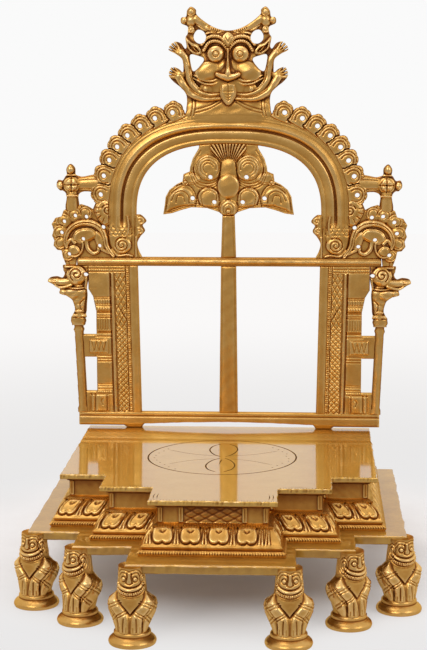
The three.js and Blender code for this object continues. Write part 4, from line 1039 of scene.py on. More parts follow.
def build_canopy():
    r = Relief(-56, 56, ARCH_SPRING - 2, 319.4, 0.38)
    half = [
        (4.8, 262.3), (7.4, 264.6), (17, 267.8), (29.3, 268.3), (37.6, 266), (44.5, 263.6), (51.6, 262.6),
        (50.4, 269.8), (49.6, 276.5), (46.6, 282), (41, 286.4), (36.2, 288.6), (35.4, 294.4), (30.6, 296.4),
        (30.2, 300), (28.2, 306.6), (23.4, 314.6), (22, 322)
    ]
    r.body([*half, *on_side(-1)(half)[::-1]], curved=False)
    r.h[:] = 0.9
    # Lines that follow the silhouette of the whole leaf
    for inset in (1.3, 2.9):
        r.h -= 0.5 * np.exp(-(((r.edge - inset) / 0.42) ** 2)) * (r.Z < 309)
    for side in BOTH:
        s = on_side(side)
        # Outer leaf with its inner whorl, the leaf above it and the knob between
        r.leaf(
            s([
                (27.4, 270.6), (36, 269.4), (44, 266.8), (48.8, 265.8), (47.4, 275.4), (43.2, 281),
                (36.2, 284), (30.2, 281.8), (27.4, 276.4)
            ]),
            1.4, (), 0.7, 2.6
        )
        r.groove(s([(31, 271.4), (31.6, 277.6), (36.4, 281.2), (42, 279.4), (45, 273.6)]), 0.42, 0.7)
        r.groove(s([(34.4, 272.6), (36, 277.4), (40.2, 277.2), (41.4, 272)]), 0.4, 0.6)
        r.groove(s([(26.2, 268.6), (25.2, 276), (29.2, 284), (36, 286.8), (43.4, 284.4)]), 0.46, 0.8)
        r.leaf(
            s([(22, 289.8), (28, 286.6), (34, 288.2), (36, 291.6), (34.8, 294.8), (29.6, 295.8), (24, 294)]),
            1.4, (1.0,), 0.7, 1.6
        )
        r.dome(side * 34, 288.2, 2.6, 2.6, 1.4, 1.2)
        r.ring(side * 34, 288.2, 1.5, 0.4, 0.8)
        # Inner lower whorl
        r.leaf(
            s([
                (8.4, 269.2), (15, 268.6), (21.6, 270.6), (24.2, 276.8), (21.4, 283), (14.6, 284.4),
                (8.6, 281), (6.6, 275)
            ]),
            1.6, (), 0.7, 3.4
        )
        r.groove(
            s([(22.6, 270.4), (24.6, 277.2), (20.4, 283.2), (13.6, 284), (8.2, 280.2), (7.2, 273.6)]), 0.46,
            0.8
        )
        r.groove(
            s([(20.2, 270), (21.6, 277), (18.2, 281.2), (13, 281.6), (9.6, 278.2), (9.4, 273.4)]), 0.42, 0.65
        )
        # Upper whorl, and the lines that sweep from it over the shoulder
        r.leaf(
            s([
                (6.6, 300), (8.2, 292.2), (14.6, 289.2), (21.8, 291.8), (25.4, 299), (22.8, 306.8),
                (15.8, 309.8), (8.6, 306.4)
            ]),
            2.2, (), 0.8, 4.6
        )
        for radius, turns in ((8.4, 1.0), (6.2, 0.9), (4.0, 0.8)):
            span = (-70, 290 * turns - 70) if side > 0 else (250 - 290 * turns, 250)
            r.ring(side * 15.8, 299.2, radius, 0.4, 0.6, span)
        for grow in (0, 2.1, 4.2):
            start = [(5.4 - 0.3 * grow, 307), (6.4 - 0.4 * grow, 296), (9.2 - 0.2 * grow, 289.2 - 0.6 * grow)]
            end = [
                (16, 287 - grow), (23.8 + 0.5 * grow, 289 - 0.8 * grow), (27.4 + 0.7 * grow, 296 - 0.3 * grow)
            ]
            r.groove(s([*start, *end]), 0.42, 0.65)
        r.groove(s([(26.2, 293), (27.6, 300), (25.2, 307.6), (21.6, 313)]), 0.42, 0.6)
    # Fan of palm ribs that opens to the arch, stem, egg-shaped boss and the bud below
    reach = np.hypot(r.X, r.Z - 298)
    bearing = np.degrees(np.arctan2(r.X, r.Z - 298))
    fan = (np.abs(bearing) < 45.5) & (reach > 2) & (np.abs(r.X) < 14.2)
    rib = np.abs(np.sin(math.pi * bearing / 7.0))
    r.h = np.where(fan, 0.3 + 1.9 * rib**0.7 * np.clip(reach / 12, 0.3, 1), r.h)
    r.ridge([(0, 262), (0, 290), (0, 301)], [5.2, 8, 5.8], 1.3, 0.8)
    r.dome(0, 285.4, 8.7, 10.4, 2.8, 1.2)
    r.groove(arc(0, 285.4, 9.1, 30, 150, 14), 0.45, 0.5, curved=False)
    r.dome(0, 268, 7.2, 7.2, 2.8, 1.2)
    r.groove([(-6, 264.6), (-6, 270), (-3, 273), (0, 275), (3, 273), (6, 270), (6, 264.6)], 0.42, 0.65)
    r.groove([(-3.6, 264.6), (-3.6, 268.8), (0, 271.6), (3.6, 268.8), (3.6, 264.6)], 0.4, 0.6)
    r.dome(0, 265.4, 1.7, 1.7, 1.0, 3.4)
    r.ring(0, 265.4, 2.0, 0.42, 0.6)
    for x, z in ((14.2, 292.2), (11.2, 272.4), (28.4, 275.4)):
        for side in BOTH:
            r.hole(side * x, z, 1.75)
    r.keep(z0=ARCH_SPRING)
    r.edge = np.minimum(r.edge, LAP - arch_offset(r.X, r.Z))
    r.uneven(0.15, 14, 31)
    r.build("canopy", wear=0.85)


def build_mask():
    r = Relief(-50, 50, 330, 425.5, 0.36)
    half = [
        (33, 330), (33, 344), (32.4, 352), (33.6, 358), (38, 362.6), (43, 366.6), (46.4, 371.4),
        (44.4, 377.4), (39.4, 376.6), (35.6, 373.6), (35.2, 378), (36, 384), (41, 388), (46.6, 391.4),
        (42.6, 397), (37.4, 396.2), (34, 392), (32.4, 394), (33.4, 400.4), (31.8, 403.4), (31.6, 408.6),
        (36.6, 411.4), (36.4, 415.6), (33, 416.4), (32, 421), (29, 424), (25.4, 421.8), (24.6, 417.8),
        (17, 411.6), (9, 407.4), (0, 405.7)
    ]
    r.body([*half, *on_side(-1)(half[:-1])[::-1]])
    r.h[:] = 0.4
    hands = ((34.8, 385.6, (12, 24, 36, 48, 60)), (34.6, 369.4, (7, 21, 35, 49, 63)))
    for side in BOTH:
        s = on_side(side)
        r.cut(s([(18.8, 383.8), (24.4, 386.6), (30, 387), (29.2, 378.4), (27.4, 374.6), (23.2, 377)]))
        r.cut(
            s([
                (17.2, 400.6), (19.4, 405), (24, 406.4), (27, 402.6), (26.6, 398.4), (23, 395.8),
                (18.8, 396.6)
            ])
        )
        # Fingers, cut apart between them
        for hx, hz, fan in hands:
            for a in [(p + q) / 2 for p, q in zip(fan[:-1], fan[1:])]:
                r.cut(s(turned([(8, 0), (13.8, -0.5), (13.8, 0.5)], hx, hz, a)), curved=False)
    # Neck plate with its chased lines
    r.dome(0, 342, 36, 15, 2.6, 0.3)
    for side in BOTH:
        s = on_side(side)
        for x in (26.2, 28.6):
            r.groove(s([(x + 1.6, 337), (x - 0.2, 346), (x - 0.4, 355)]), 0.42, 0.65)
        for drop in (0, 2.6):
            r.groove(
                s([(6, 353.2 - drop), (13, 349 - drop), (20, 346.4 - drop), (26, 345 - drop)]), 0.42, 0.65
            )
    # Skull, and sockets that sink gently round the eyes
    r.dome(0, 379, 24.4, 28, 6.4, 0.6)
    r.dome(0, 397, 20, 10.6, 4.2, 0.8)
    for side in BOTH:
        s = on_side(side)
        well = np.hypot(r.X - side * 9.6, r.Z - 387.8)
        r.h -= 0.7 * np.exp(-(((well - 7.6) / 1.8) ** 2))
        r.dome(side * 15.6, 374.6, 10.6, 7.8, 3.4, 4.8, -side * 20)
        r.dome(side * 15.6, 361.8, 6.8, 5.2, 2.6, 2.0)
        r.dome(side * 9.5, 387.8, 6.9, 6.7, 4.6, 5.8)
        r.ring(side * 9.4, 387.9, 2.3, 0.42, 0.7)
        r.dome(side * 9.4, 387.9, 1.4, 1.4, 0.9, 10.0)
        # Two ribbed brows that meet in a V over the nose
        brow = s([(0.4, 389.6), (2.4, 393.4), (6.4, 396.8), (11, 397.6), (15.6, 395.6), (18.8, 390.4)])
        upper_brow = s([(1.6, 394.8), (5, 399.8), (10.8, 401.4), (16.4, 399.8), (20.4, 395)])
        for path, half_width, height in ((brow, 1.4, 1.8), (upper_brow, 1.3, 1.6)):
            r.ridge(path, half_width, height, 5.6)
            r.ticks(path, 1.55, 1.2, 0.6)
        r.ridge(s([(4.6, 405), (8.6, 403.6), (13.4, 404.2), (18, 403)]), 0.9, 1.0, 3.4)
        # Horn that broadens out from the crescent to its knobs
        r.ridge(s([(5, 405.2), (12, 406.8), (19, 410), (25, 414.4)]), [2.4, 3.4, 4.2, 3.4], 2.4, 1.2)
        r.groove(s([(9, 403.6), (16, 405.6), (22, 409), (27, 411.6)]), 0.45, 0.7)
        r.dome(side * 28.8, 420, 3.6, 4.4, 4.0, 0.6)
        r.dome(side * 34.4, 413.8, 3.0, 3.0, 3.4, 0.6)
        r.dome(side * 28.8, 413.4, 4.0, 4.8, 3.0, 0.8)
        r.dome(side * 29, 406.6, 3.2, 3.4, 3.0, 0.8)
        r.ring(side * 29, 406.6, 1.5, 0.42, 0.7)
        r.ring(side * 28.8, 420, 2.2, 0.42, 0.7)
        # Ear, a leaf with a rolled rim round a dark hollow
        ear = s([
            (19.4, 388.4), (22.8, 394.4), (28, 396.6), (33, 401.2), (33, 394.4), (29.6, 389.4), (24.4, 386.6)
        ])
        r.leaf(ear, 3.0, floor=1.0, rounding=1.3)
        r.leaf(
            s([
                (22, 389.2), (24.4, 393), (28.4, 394.6), (31.6, 397.6), (30.8, 392.8), (28, 390), (25, 388.2)
            ]),
            0.1, (), 0.0, 1.0
        )
        hollow = s([
            (22.2, 389.4), (24.4, 392.8), (28.4, 394.4), (31.4, 397.2), (30.6, 392.8), (28, 390.2),
            (25, 388.6)
        ])
        r.h -= 2.6 * np.clip(signed(r.X, r.Z, smooth(hollow)) / 1.1, 0, 1)
        r.ridge(s([(20.4, 387.6), (25, 390.4), (31, 397)]), 0.6, 1.0, 1.6)
        # Moustache of two cords, and the mouth with its teeth
        r.ridge(s([(8, 368.8), (13, 367.0), (19, 367.8), (26.4, 371.4)]), [1.2, 1.2, 0.7], 2.0, 4.8)
        r.ridge(s([(6.6, 366.4), (12, 364.6), (19, 365.2), (26.8, 369.2)]), [1.1, 1.2, 0.7], 1.8, 4.2)
        r.dome(side * 17.6, 361.2, 2.4, 3.6, 2.6, 2.6)
        r.dome(side * 13.2, 360.4, 2.0, 3.0, 1.8, 2.4)
        # Arms that sweep up from under the chin to the raised hands
        upper = s([
            (6.4, 357.2), (15.6, 356.8), (24.2, 360.2), (29.6, 367.4), (31.4, 377), (33.4, 384), (36.6, 388)
        ])
        lower = s([(6.2, 353.8), (16, 353.2), (24, 354.8), (31.2, 359.4), (36, 366), (38.4, 370)])
        for arm in (lower, upper):
            r.ridge(arm, [1.8, 2.2, 2.9, 3.2, 2.9, 3.2], 2.4, 1.9)
            r.groove([(x - side, z + 1) for x, z in arm[:-2]], 0.42, 0.6)
        for hx, hz, fan in hands:
            r.dome(side * (hx + 3), hz + 2.6, 4.6, 4.0, 2.4, 1.2)
            for a in fan:
                r.ridge(s(ray(hx, hz, a, 3, 13)), [1.6, 1.5, 1.0], 1.8, 1.2, curved=False)
    # Forehead bud with its V lines, hatching along the crescent, nose and tongue
    r.leaf(
        [(0, 392.6), (3.4, 397.6), (4.2, 401.6), (0, 404.4), (-4.2, 401.6), (-3.4, 397.6)], 2.0, (1.1,), 5.8,
        1.6
    )
    r.groove([(-2.4, 401), (0, 396.6), (2.4, 401)], 0.42, 0.6, curved=False)
    r.ticks([(-14, 408.4), (-7, 406.2), (0, 405.4), (7, 406.2), (14, 408.4)], 1.5, 1.9, 0.8)
    r.ridge([(0, 391.6), (0, 384), (0, 377), (0, 371)], [1.0, 0.9, 1.5, 3.0], 2.8, 7.4)
    for side in BOTH:
        r.ridge([(side * 0.6, 369.6), (side * 4.6, 370.6), (side * 8.2, 372.2)], [3.0, 2.6, 2.0], 3.4, 7.0)
        r.groove([(side * 2.4, 384), (side * 2.8, 378), (side * 5.4, 374.6)], 0.7, 0.7)
        r.groove([(0, 366.2), (side * 4.6, 368), (side * 8.6, 369.6)], 0.42, 0.6)
    r.dome(0, 362.4, 8.6, 5.4, 2.0, 1.0)
    tongue = [(5.4, 366), (6.8, 360), (5.8, 354), (0, 347.8), (-5.8, 354), (-6.8, 360), (-5.4, 366)]
    r.leaf(tongue, 3.6, (1.5,), 3.0, 2.6)
    r.groove([(0, 364), (0, 352)], 0.4, 0.5)
    r.groove([(-4, 359), (4, 359)], 0.36, 0.4, curved=False)
    for z in (355.8, 353.6, 351.6):
        r.groove([(-1.8, z + 0.9), (0, z), (1.8, z + 0.9)], 0.36, 0.4, curved=False)
    beyond = arch_offset(r.X, r.Z) - ARCH_BAND
    r.edge = np.minimum(r.edge, beyond + 1.4)
    r.ease = 1.1 * np.clip(3.4 - beyond, 0, 1) * (np.abs(r.X) < 32)
    level = r.h.copy()
    r.uneven(0.2, 13, 33)
    r.h = level + (r.h - level) * np.clip((beyond - 0.6) / 5, 0, 1)
    # Where the plate lies under the arch's rim it is a little lower
    joint = np.clip((1.4 - beyond) / 1.0, 0, 1)
    r.h += joint * (neck_plate(r.X, r.Z) - 0.06 - r.h)
    r.build("mask", rounding=1.1, wear=0.9, replaced="lion_mask")


# Base


def stepped_plan(side, front, rear):
    """Corners of the base's plan, moved out from the neck's by an amount at each side."""
    half = NECK_HALF + side
    near = -(NECK_FRONT + front)
    left = [
        (-half[2], NECK_BACK + rear),
        (-half[2], near[2]),
        (-half[1], near[2]),
        (-half[1], near[1]),
        (-half[0], near[1]),
        (-half[0], near[0]),
    ]
    return np.array([*left, *on_side(-1)(left)[::-1]])


def edge_lengths(corners):
    return np.hypot(*(np.roll(corners, -1, 0) - corners).T)


def divided(corners, counts):
    """A closed outline with each of its edges cut into a number of steps."""
    parts = []
    for a, b, n in zip(corners, np.roll(corners, -1, 0), counts):
        t = np.arange(n)[:, None] / n
        parts.append(a + (b - a) * t)
    return np.vstack(parts)


# The plan's faces in the order of its corners, from the left side round the front to the back
LEFT, FRONT, RIGHT, REAR = (-1, 0), (0, -1), (1, 0), (0, 1)
OUTWARD = np.array([LEFT, FRONT] * 3 + [RIGHT, FRONT] * 2 + [RIGHT, REAR])
LONG_SIDES = (0, 10)
FRONT_FACE = 5
REAR_FACE = 11
FACES_TO_FRONT = (1, 3, 5, 7, 9)

# Plinth levels: offsets from the neck at the side, front and back, height, rows up to it and bulge
LEVELS = [
    (11.5, 15.5, 5.0, PLATE_TOP, 0, 0.0),
    (12.3, 16.3, 5.8, 56.4, 3, 0.0),
    (11.2, 15.2, 5.0, 58.6, 4, 0.5),
    (9.2, 12.8, 4.2, 59.0, 2, 0.0),
    (10.0, 13.6, 4.8, 61.0, 3, 0.3),
    (8.6, 12.2, 4.0, 62.4, 3, 0.2),
    (2.4, 3.4, 1.4, 71.6, 24, 1.1),
    (3.6, 4.4, 1.8, 73.0, 3, 0.3),
    (0.0, 0.0, 0.0, NECK_BOTTOM, 4, 0.4),
    (0.0, 0.0, 0.0, 84.8, 19, 0.0),
    (1.6, 1.6, 1.6, 85.9, 2, 0.0),
    (1.6, 1.6, 1.6, SLAB_BOTTOM, 1, 0.0),
]
PETALS_LOW, PETALS_HIGH = 62.6, 71.4
NECK_ROW = -8


def plinth_rows():
    """Offsets at the side, front and back, height and bulge of each row of points up the plinth."""
    rows = [(*LEVELS[0][:4], 0.0)]
    for below, (*level, steps, bulge) in zip(LEVELS[:-1], LEVELS[1:]):
        for t in np.arange(1, steps + 1) / steps:
            rows.append((*[p + (q - p) * t for p, q in zip(below, level)], bulge * math.sin(math.pi * t)))
    return np.array(rows)


def petal(field, x, width, lined):
    """A lotus petal: a wide flat pad with a double-lobed tip turned down and a dent near its root."""
    at = lambda points: [
        (x + px * width / 2, PETALS_LOW + pz * (PETALS_HIGH - PETALS_LOW)) for px, pz in points
    ]
    half_outer = [(0.16, 0.06), (0.42, 0.03), (0.76, 0.1), (0.96, 0.34), (1.0, 0.66), (0.9, 1.04)]
    half_inner = [(0.14, 0.28), (0.38, 0.24), (0.62, 0.36), (0.72, 0.62), (0.66, 1.0)]
    outer = at([*on_side(-1)(half_outer)[::-1], (0, 0.14), *half_outer])
    inner = at([*on_side(-1)(half_inner)[::-1], (0, 0.38), *half_inner])
    field.leaf(outer, 0.7, rounding=1.2)
    field.groove(outer, 0.55, 0.9)
    if lined:
        field.groove(inner, 0.38, 0.4)
    field.groove(at([(-0.2, 0.84), (0, 0.76), (0.2, 0.84)]), 0.55, 0.7)


def upright(x, dx, top, foot):
    """A line up between two petals, which leans out by shares of dx at its ends."""
    middle = (x + dx, (PETALS_LOW + PETALS_HIGH) / 2)
    return [(x + dx * top, PETALS_HIGH), middle, (x + dx * foot, PETALS_LOW + 0.4)]


def carve_petals(field, face):
    """The petals of one face; the front's are wider and follow the photograph's places."""
    if face == FRONT_FACE:
        centres, width, last_gap = [-33.4, -14.6, 4.4, 23.4], 14.2, [37.2]
    elif face in LONG_SIDES:
        centres, width, last_gap = np.arange(-72, 73, 18.0), 13.6, []
    else:
        centres, width, last_gap = [-9.0, 9.0], 13.4, []
    for x in centres:
        petal(field, x, width, face != FRONT_FACE)
    gaps = [(a + b) / 2 for a, b in zip(centres[:-1], centres[1:])]
    half_pitch = (centres[1] - centres[0]) / 2
    # Narrow leaves stand between the petals
    for x in [*gaps, centres[0] - half_pitch, centres[-1] + half_pitch, *last_gap]:
        for dx in (-0.8, 0.8):
            field.ridge(upright(x, dx, 0.8, 1.5), 0.75, 0.5, add=True)
        for dx in (-1.7, 0, 1.7):
            field.groove(upright(x, dx, 0.7, 1.4), 0.36, 0.6)


def carve_neck(field, face):
    """Upright strips at the ends of a face, and the front's lattice panel between two more."""
    neck_half = np.abs(field.X[NECK_ROW]).max()
    strips = [(side * (neck_half - 1.8), 1.5, side * 0.2) for side in BOTH]
    if face == FRONT_FACE:
        strips += [(side * 21.6, 1.6, 0) for side in BOTH]
    for x, half, inward in strips:
        field.set_flat(x - half, x + half, 74.8, 85, 0.9)
        field.groove([(x - inward, 75.4), (x - inward, 84.4)], 0.4, 0.5, curved=False)
    if face != FRONT_FACE:
        return
    pitch = 9.8
    for lean in BOTH:
        for x in [pitch * j + d for j in range(-3, 4) for d in (-0.7, 0.7)]:
            line = np.linspace((x - lean * pitch, 74.6), (x + lean * pitch, 84.9), 40)
            clipped = [p for p in line if abs(p[0]) < 19.6]
            if len(clipped) > 1:
                field.groove(clipped, 0.36, 0.42, curved=False)


def build_plinth():
    rows = plinth_rows()
    offsets, z = rows[:, :3] + rows[:, 4:], rows[:, 3]
    lengths = edge_lengths(stepped_plan(11, 15, 5))
    pitch = np.full(len(lengths), 0.45)
    pitch[[*LONG_SIDES]] = 0.5
    pitch[REAR_FACE] = 1.8
    counts = np.maximum(4, np.round(lengths / pitch).astype(int))
    plans = np.array([divided(stepped_plan(*o), counts) for o in offsets])
    shift = np.zeros(plans.shape[:2])
    patina = np.full(plans.shape[:2], LEVEL_TONE)
    start = 0
    for face, n in enumerate(counts):
        block = slice(start, start + n)
        start += n
        u = plans[:, block, 1 if OUTWARD[face][0] else 0]
        if face != FRONT_FACE:
            u = u - (u[:, :1] + u[:, -1:]) / 2
        field = Field(u, np.repeat(z[:, None], n, 1))
        if face != REAR_FACE:
            half = np.abs(u).max()
            for height, width, depth in ((57.0, 1.1, 0.75), (73.1, 0.9, 0.4)):
                field.ticks([(-half, height), (half, height)], 1.8, width, depth, curved=False)
            carve_petals(field, face)
        if face in FACES_TO_FRONT:
            carve_neck(field, face)
        field.uneven(0.06, 14, 20 + face)
        near_end = np.minimum(np.arange(n), n - np.arange(n)) * lengths[face] / n
        field.h *= np.clip(near_end / 0.7, 0, 1)[None, :]
        shift[:, block] = field.h
        patina[:, block] = recess(field.h, np.ones(field.h.shape, bool), (0.45, lengths[face] / n), 1.2)
        if face == FRONT_FACE:
            patina[:, block] += 0.24 * ((np.abs(field.X) < 20) & (field.Z > NECK_BOTTOM))
    shift[0] = shift[-1] = 0
    # The carving moves each point along the moulding's normal
    slope = np.gradient(np.column_stack([offsets[:, 1], z]), axis=0)
    slope /= np.maximum(np.hypot(*slope.T), 1e-9)[:, None]
    out = np.repeat(OUTWARD, counts, 0)
    x = plans[..., 0] + shift * slope[:, 1:2] * out[None, :, 0]
    y = plans[..., 1] + shift * slope[:, 1:2] * out[None, :, 1]
    skin = np.stack([x, y, z[:, None] - shift * slope[:, :1]], -1).reshape(-1, 3)
    total = counts.sum()
    # The hollow inside it, and the rims above and below
    hollow = stepped_plan(-NECK_WALL, -NECK_WALL, -NECK_WALL)
    points = np.array([
        *skin, *[(*corner, height) for height in (PLATE_TOP, SLAB_BOTTOM) for corner in hollow]
    ])
    lower = np.arange(len(skin), len(skin) + 12)
    upper = lower + 12
    inner = np.column_stack([upper, np.roll(upper, -1), np.roll(lower, -1), lower])
    quads = np.vstack([stacked(len(z), total), inner])
    tris = []
    for row, inner_ids, step in ((0, lower, -1), (len(z) - 1, upper, 1)):
        ids = np.concatenate([np.arange(total) + row * total, inner_ids])
        loops = (np.arange(total), np.arange(total, total + 12)[::-1])
        edges = [edge for loop in loops for edge in zip(loop, np.roll(loop, -1))]
        tris += [[ids[v] for v in face[::step]] for face in fill(points[ids][:, :2], edges)]
    # The tone of each row: darker between the mouldings, painted light on the beading and its shelf, and
    # painted shade on the neck, darkest under the slab
    row_tone_and_painted_light = [-0.12 if v > 71.8 else 0.2 if 58.5 < v < 59.4 else 0.08 for v in z]
    # Painted shade on the neck, which grows towards the slab above it
    row_tone_and_painted_light = np.where(z > NECK_BOTTOM + 0.2, 0.12 + 0.3 * np.clip((z - 78) / 7, 0, 1), row_tone_and_painted_light)
    # The patina with the painted light and shade of the rows added
    patina_with_painted_light = np.clip(patina + row_tone_and_painted_light[:, None], 0, 1)
    point_tones = np.concatenate([patina_with_painted_light.ravel(), np.full(24, 0.5)])
    put(build_mesh("plinth", points, quads, tris, point_tones, cast_brass, 40), "base", "cast_brass", "lotus_plinth")


class Plate:
    """A plate of the base's stepped plan with a filed edge, to be engraved on its top."""

    def __init__(self, offsets, z0, z1, bevel, seed, tone, pitch, rough_edge, notched):
        self.z0, self.z1, self.tone = z0, z1, tone
        r = np.random.default_rng(seed)
        offsets = [np.asarray(v, float) for v in offsets]
        counts = np.maximum(2, np.round(edge_lengths(stepped_plan(*offsets)) / pitch).astype(int))
        self.total = total = counts.sum()
        wobble = r.normal(0, rough_edge, (total, 2))
        if notched:
            wobble = sum(np.roll(wobble, j, 0) for j in range(-3, 4)) / 3
        wobble[np.cumsum(np.concatenate([[0], counts[:-1]]))] *= 0.4
        levels = (
            (bevel * 0.6, z0),
            (0, z0 + bevel * 0.6),
            (0, z1 - bevel),
            (bevel * 0.35, z1 - bevel * 0.3),
            (bevel, z1),
        )
        rings = []
        for inset, z in levels:
            ring = divided(stepped_plan(*(v - inset for v in offsets)), counts) + wobble
            rings.append(np.column_stack([ring, np.full(total, z)]))
        worn = r.uniform(0, 1, total) ** 2
        for ring in rings[2:4]:
            ring[:, 2] -= notched * worn
        self.points = list(map(tuple, np.vstack(rings)))
        self.quads = list(stacked(len(rings), total))
        self.point_tones = [*[tone] * (2 * total), *np.tile(tone + notched * worn, 2), *[tone] * total]
        self.bottom, self.bottom_edges = list(range(total)), []
        self.top, self.top_edges = list(range(4 * total, 5 * total)), []
        self.join(self.top, True)
        self.bottom_edges += zip(self.bottom, np.roll(self.bottom, -1))

    def add(self, new, dark=None, z=None):
        first = len(self.points)
        self.points.extend((p[0], p[1], self.z1 if z is None else z) for p in new)
        self.point_tones.extend([self.tone if dark is None else dark] * len(new))
        return list(range(first, first + len(new)))

    def join(self, chain, closed):
        self.top_edges.extend(zip(chain[:-1], chain[1:]))
        if closed:
            self.top_edges.append((chain[-1], chain[0]))

    def line(self, points, dark, z=None):
        """A closed line on the top."""
        chain = self.add(points, dark, z)
        self.top += chain
        self.join(chain, True)

    def hole(self, corners):
        upper, lower = self.add(corners), self.add(corners, z=self.z0)
        self.top += upper
        self.bottom += lower
        self.join(upper, True)
        self.bottom_edges += zip(lower, np.roll(lower, -1))
        self.quads += zip(lower, np.roll(lower, -1), np.roll(upper, -1), upper)

    def stroke(self, path, half, depth, closed=False):
        """A groove that is dark to its rim; the plate's own tone starts just outside it."""
        path = np.asarray(path, float)
        before, after = np.roll(path, 1, 0), np.roll(path, -1, 0)
        if not closed:
            before[0], after[-1] = path[0], path[-1]
        tangent = after - before
        tangent /= np.hypot(*tangent.T)[:, None]
        normal = np.column_stack([-tangent[:, 1], tangent[:, 0]])
        rim, deep = half + STROKE_RIM, self.z1 - depth
        if closed:
            sides = ((rim, self.tone, None), (half, STROKE_TONE, None), (0, STROKE_TONE, deep))
            for offset, dark, z in (*sides, (-half, STROKE_TONE, None), (-rim, self.tone, None)):
                self.line(path + normal * offset, dark, z)
            return
        for reach, dark, grow in ((rim, self.tone, 0.2), (half, STROKE_TONE, 0.0)):
            ends = self.add([path[0] - tangent[0] * grow, path[-1] + tangent[-1] * grow], dark)
            self.top += ends
            for sign in (1, -1):
                chain = self.add((path + sign * normal * reach)[1:-1], dark)
                self.top += chain
                self.join([ends[0], *chain, ends[1]], False)
        core = self.add(path[1:-1], STROKE_TONE, deep)
        self.top += core
        self.join([ends[0], *core, ends[1]], False)

    def pit(self, x, y, radius, depth):
        for grow, dark in ((STROKE_RIM, self.tone), (0.0, STROKE_TONE)):
            self.line(arc(x, y, radius + grow, 0, 315, 8), dark)
        self.top += self.add([(x, y)], STROKE_TONE, self.z1 - depth)

    def finish(self, name, replaced, holes):
        """Fills the top and the bottom round the holes, and makes the piece."""
        tris = []
        sheets = ((self.top, self.top_edges, self.z1, 1), (self.bottom, self.bottom_edges, self.z0, -1))
        for ids, edges, z, step in sheets:
            where = {v: i for i, v in enumerate(ids)}
            coords = [Vector(self.points[v][:2]) for v in ids]
            edges = [(where[a], where[b]) for a, b in edges]
            made, _, faces, origin, _, _ = delaunay_2d_cdt(coords, edges, [], 0, 1e-7)
            index = [ids[o[0]] if o else self.add([p], z=z)[0] for p, o in zip(made, origin)]
            outline = np.array([self.points[v][:2] for v in ids[: self.total]])
            centres = np.array([np.mean([made[v] for v in face], 0) for face in faces])
            keep = signed(centres[:, 0], centres[:, 1], outline) > 0
            for hole in holes:
                keep &= signed(centres[:, 0], centres[:, 1], np.asarray(hole, float)) < 0
            tris += [[index[v] for v in face][::step] for face, wanted in zip(faces, keep) if wanted]
        piece = build_mesh(name, self.points, self.quads, tris, self.point_tones, polished_brass, 25, True)
        put(piece, "base", "polished_brass", replaced)


def build_slab():
    r = np.random.default_rng(5)
    plate = Plate(SLAB, SLAB_BOTTOM, SLAB_TOP, 0.6, 11, tone=0.25, pitch=1.1, rough_edge=0.2, notched=0.6)
    (w, d), at = SLOT_HALF, (TENON_X, TENON_Y)
    slots = []
    for side in BOTH:
        slots.append(moved(side * at[0], at[1])([(-w, -d), (w, -d), (w, d), (-w, d)]))
        plate.hole(slots[-1])
    # The circle on which the image stands, with a ring of punched dots and strokes inside it
    cx, cy = 0.0, 23.9
    plate.stroke(arc(cx, cy, 55.2, 0, 357, 120), 0.5, 0.4, True)
    pits = [ray(cx, cy, a, 49.5 + r.normal(0, 0.9))[0] for a in (*range(150, 236, 9), *range(-40, 48, 9))]
    curve = lambda points: smooth(moved(cx, cy)(points), False)
    for flip in BOTH:
        bow = [(-1.2, 2.4), (-6.8, 10), (-10.5, 24), (-8.6, 37), (-2.5, 45)]
        plate.stroke(curve([(x, flip * y - 2) for x, y in bow]), 0.5, 0.35)
        plate.stroke(curve([(1 - 0.9 * x, flip * y - 2) for x, y in bow]), 0.45, 0.3)
        plate.stroke(curve([(4 * flip, 2.5), (24 * flip, 9), (42 * flip, 22)]), 0.2, 0.22)
        plate.stroke(curve([(5 * flip, -6), (22 * flip, -12), (38 * flip, -24)]), 0.2, 0.22)
    plate.stroke(moved(cx, cy)([(0.4, -7), (-0.4, -14), (-1.2, -26)]), 0.5, 0.35)
    # Lines beside the step's corners
    half, front = NECK_HALF + SLAB[0], NECK_FRONT + SLAB[1]
    for side in BOTH:
        for x in (half[0] - 3.4, half[0] - 6.0):
            y = 4 - front[0]
            plate.stroke([(side * x, y), (side * (x + 0.5), y + 8), (side * (x - 0.2), y + 17)], 0.28, 0.3)
        x, y = half[0], 5 - front[1]
        plate.stroke([(side * (x + 6), y), (side * (x + 14), y + 0.4), (side * (x + 22), y)], 0.25, 0.25)
    # Fine file notches behind the front edges
    for x0, x1, near in zip((0, *half), half, -front):
        for side in BOTH:
            for x in np.arange(x0 + 1.4, x1 - 1, 2.0):
                x, y = x + r.uniform(-0.45, 0.45), near + 1.0
                long = r.uniform(1.2, 2.6)
                plate.stroke([(side * x, y), (side * x, y + long / 2), (side * x + 0.1, y + long)], 0.22, 0.3)
    for x, y in pits:
        plate.pit(x, y, 0.62, 0.4)
    plate.finish("slab", "seat_slab", slots)


def build_lower_plate():
    hollow = stepped_plan(-NECK_WALL, -NECK_WALL, -NECK_WALL)
    plate = Plate(LEDGE, LION_TOP, PLATE_TOP, 0.9, 12, tone=0.42, pitch=2.4, rough_edge=0.3, notched=0.2)
    plate.hole(hollow)
    plate.finish("ledge", "lower_plate", [hollow])


# Legs: name, step, side, whether at the back, and the angle that the lion faces
LEGS = [
    ("front_left", 0, -1, False, -4),
    ("front_right", 0, 1, False, 4),
    ("middle_left", 1, -1, False, -38),
    ("middle_right", 1, 1, False, 38),
    ("side_left", 2, -1, False, -24),
    ("side_right", 2, 1, False, 24),
    ("back_left", 2, -1, True, -140),
    ("back_right", 2, 1, True, 140),
]


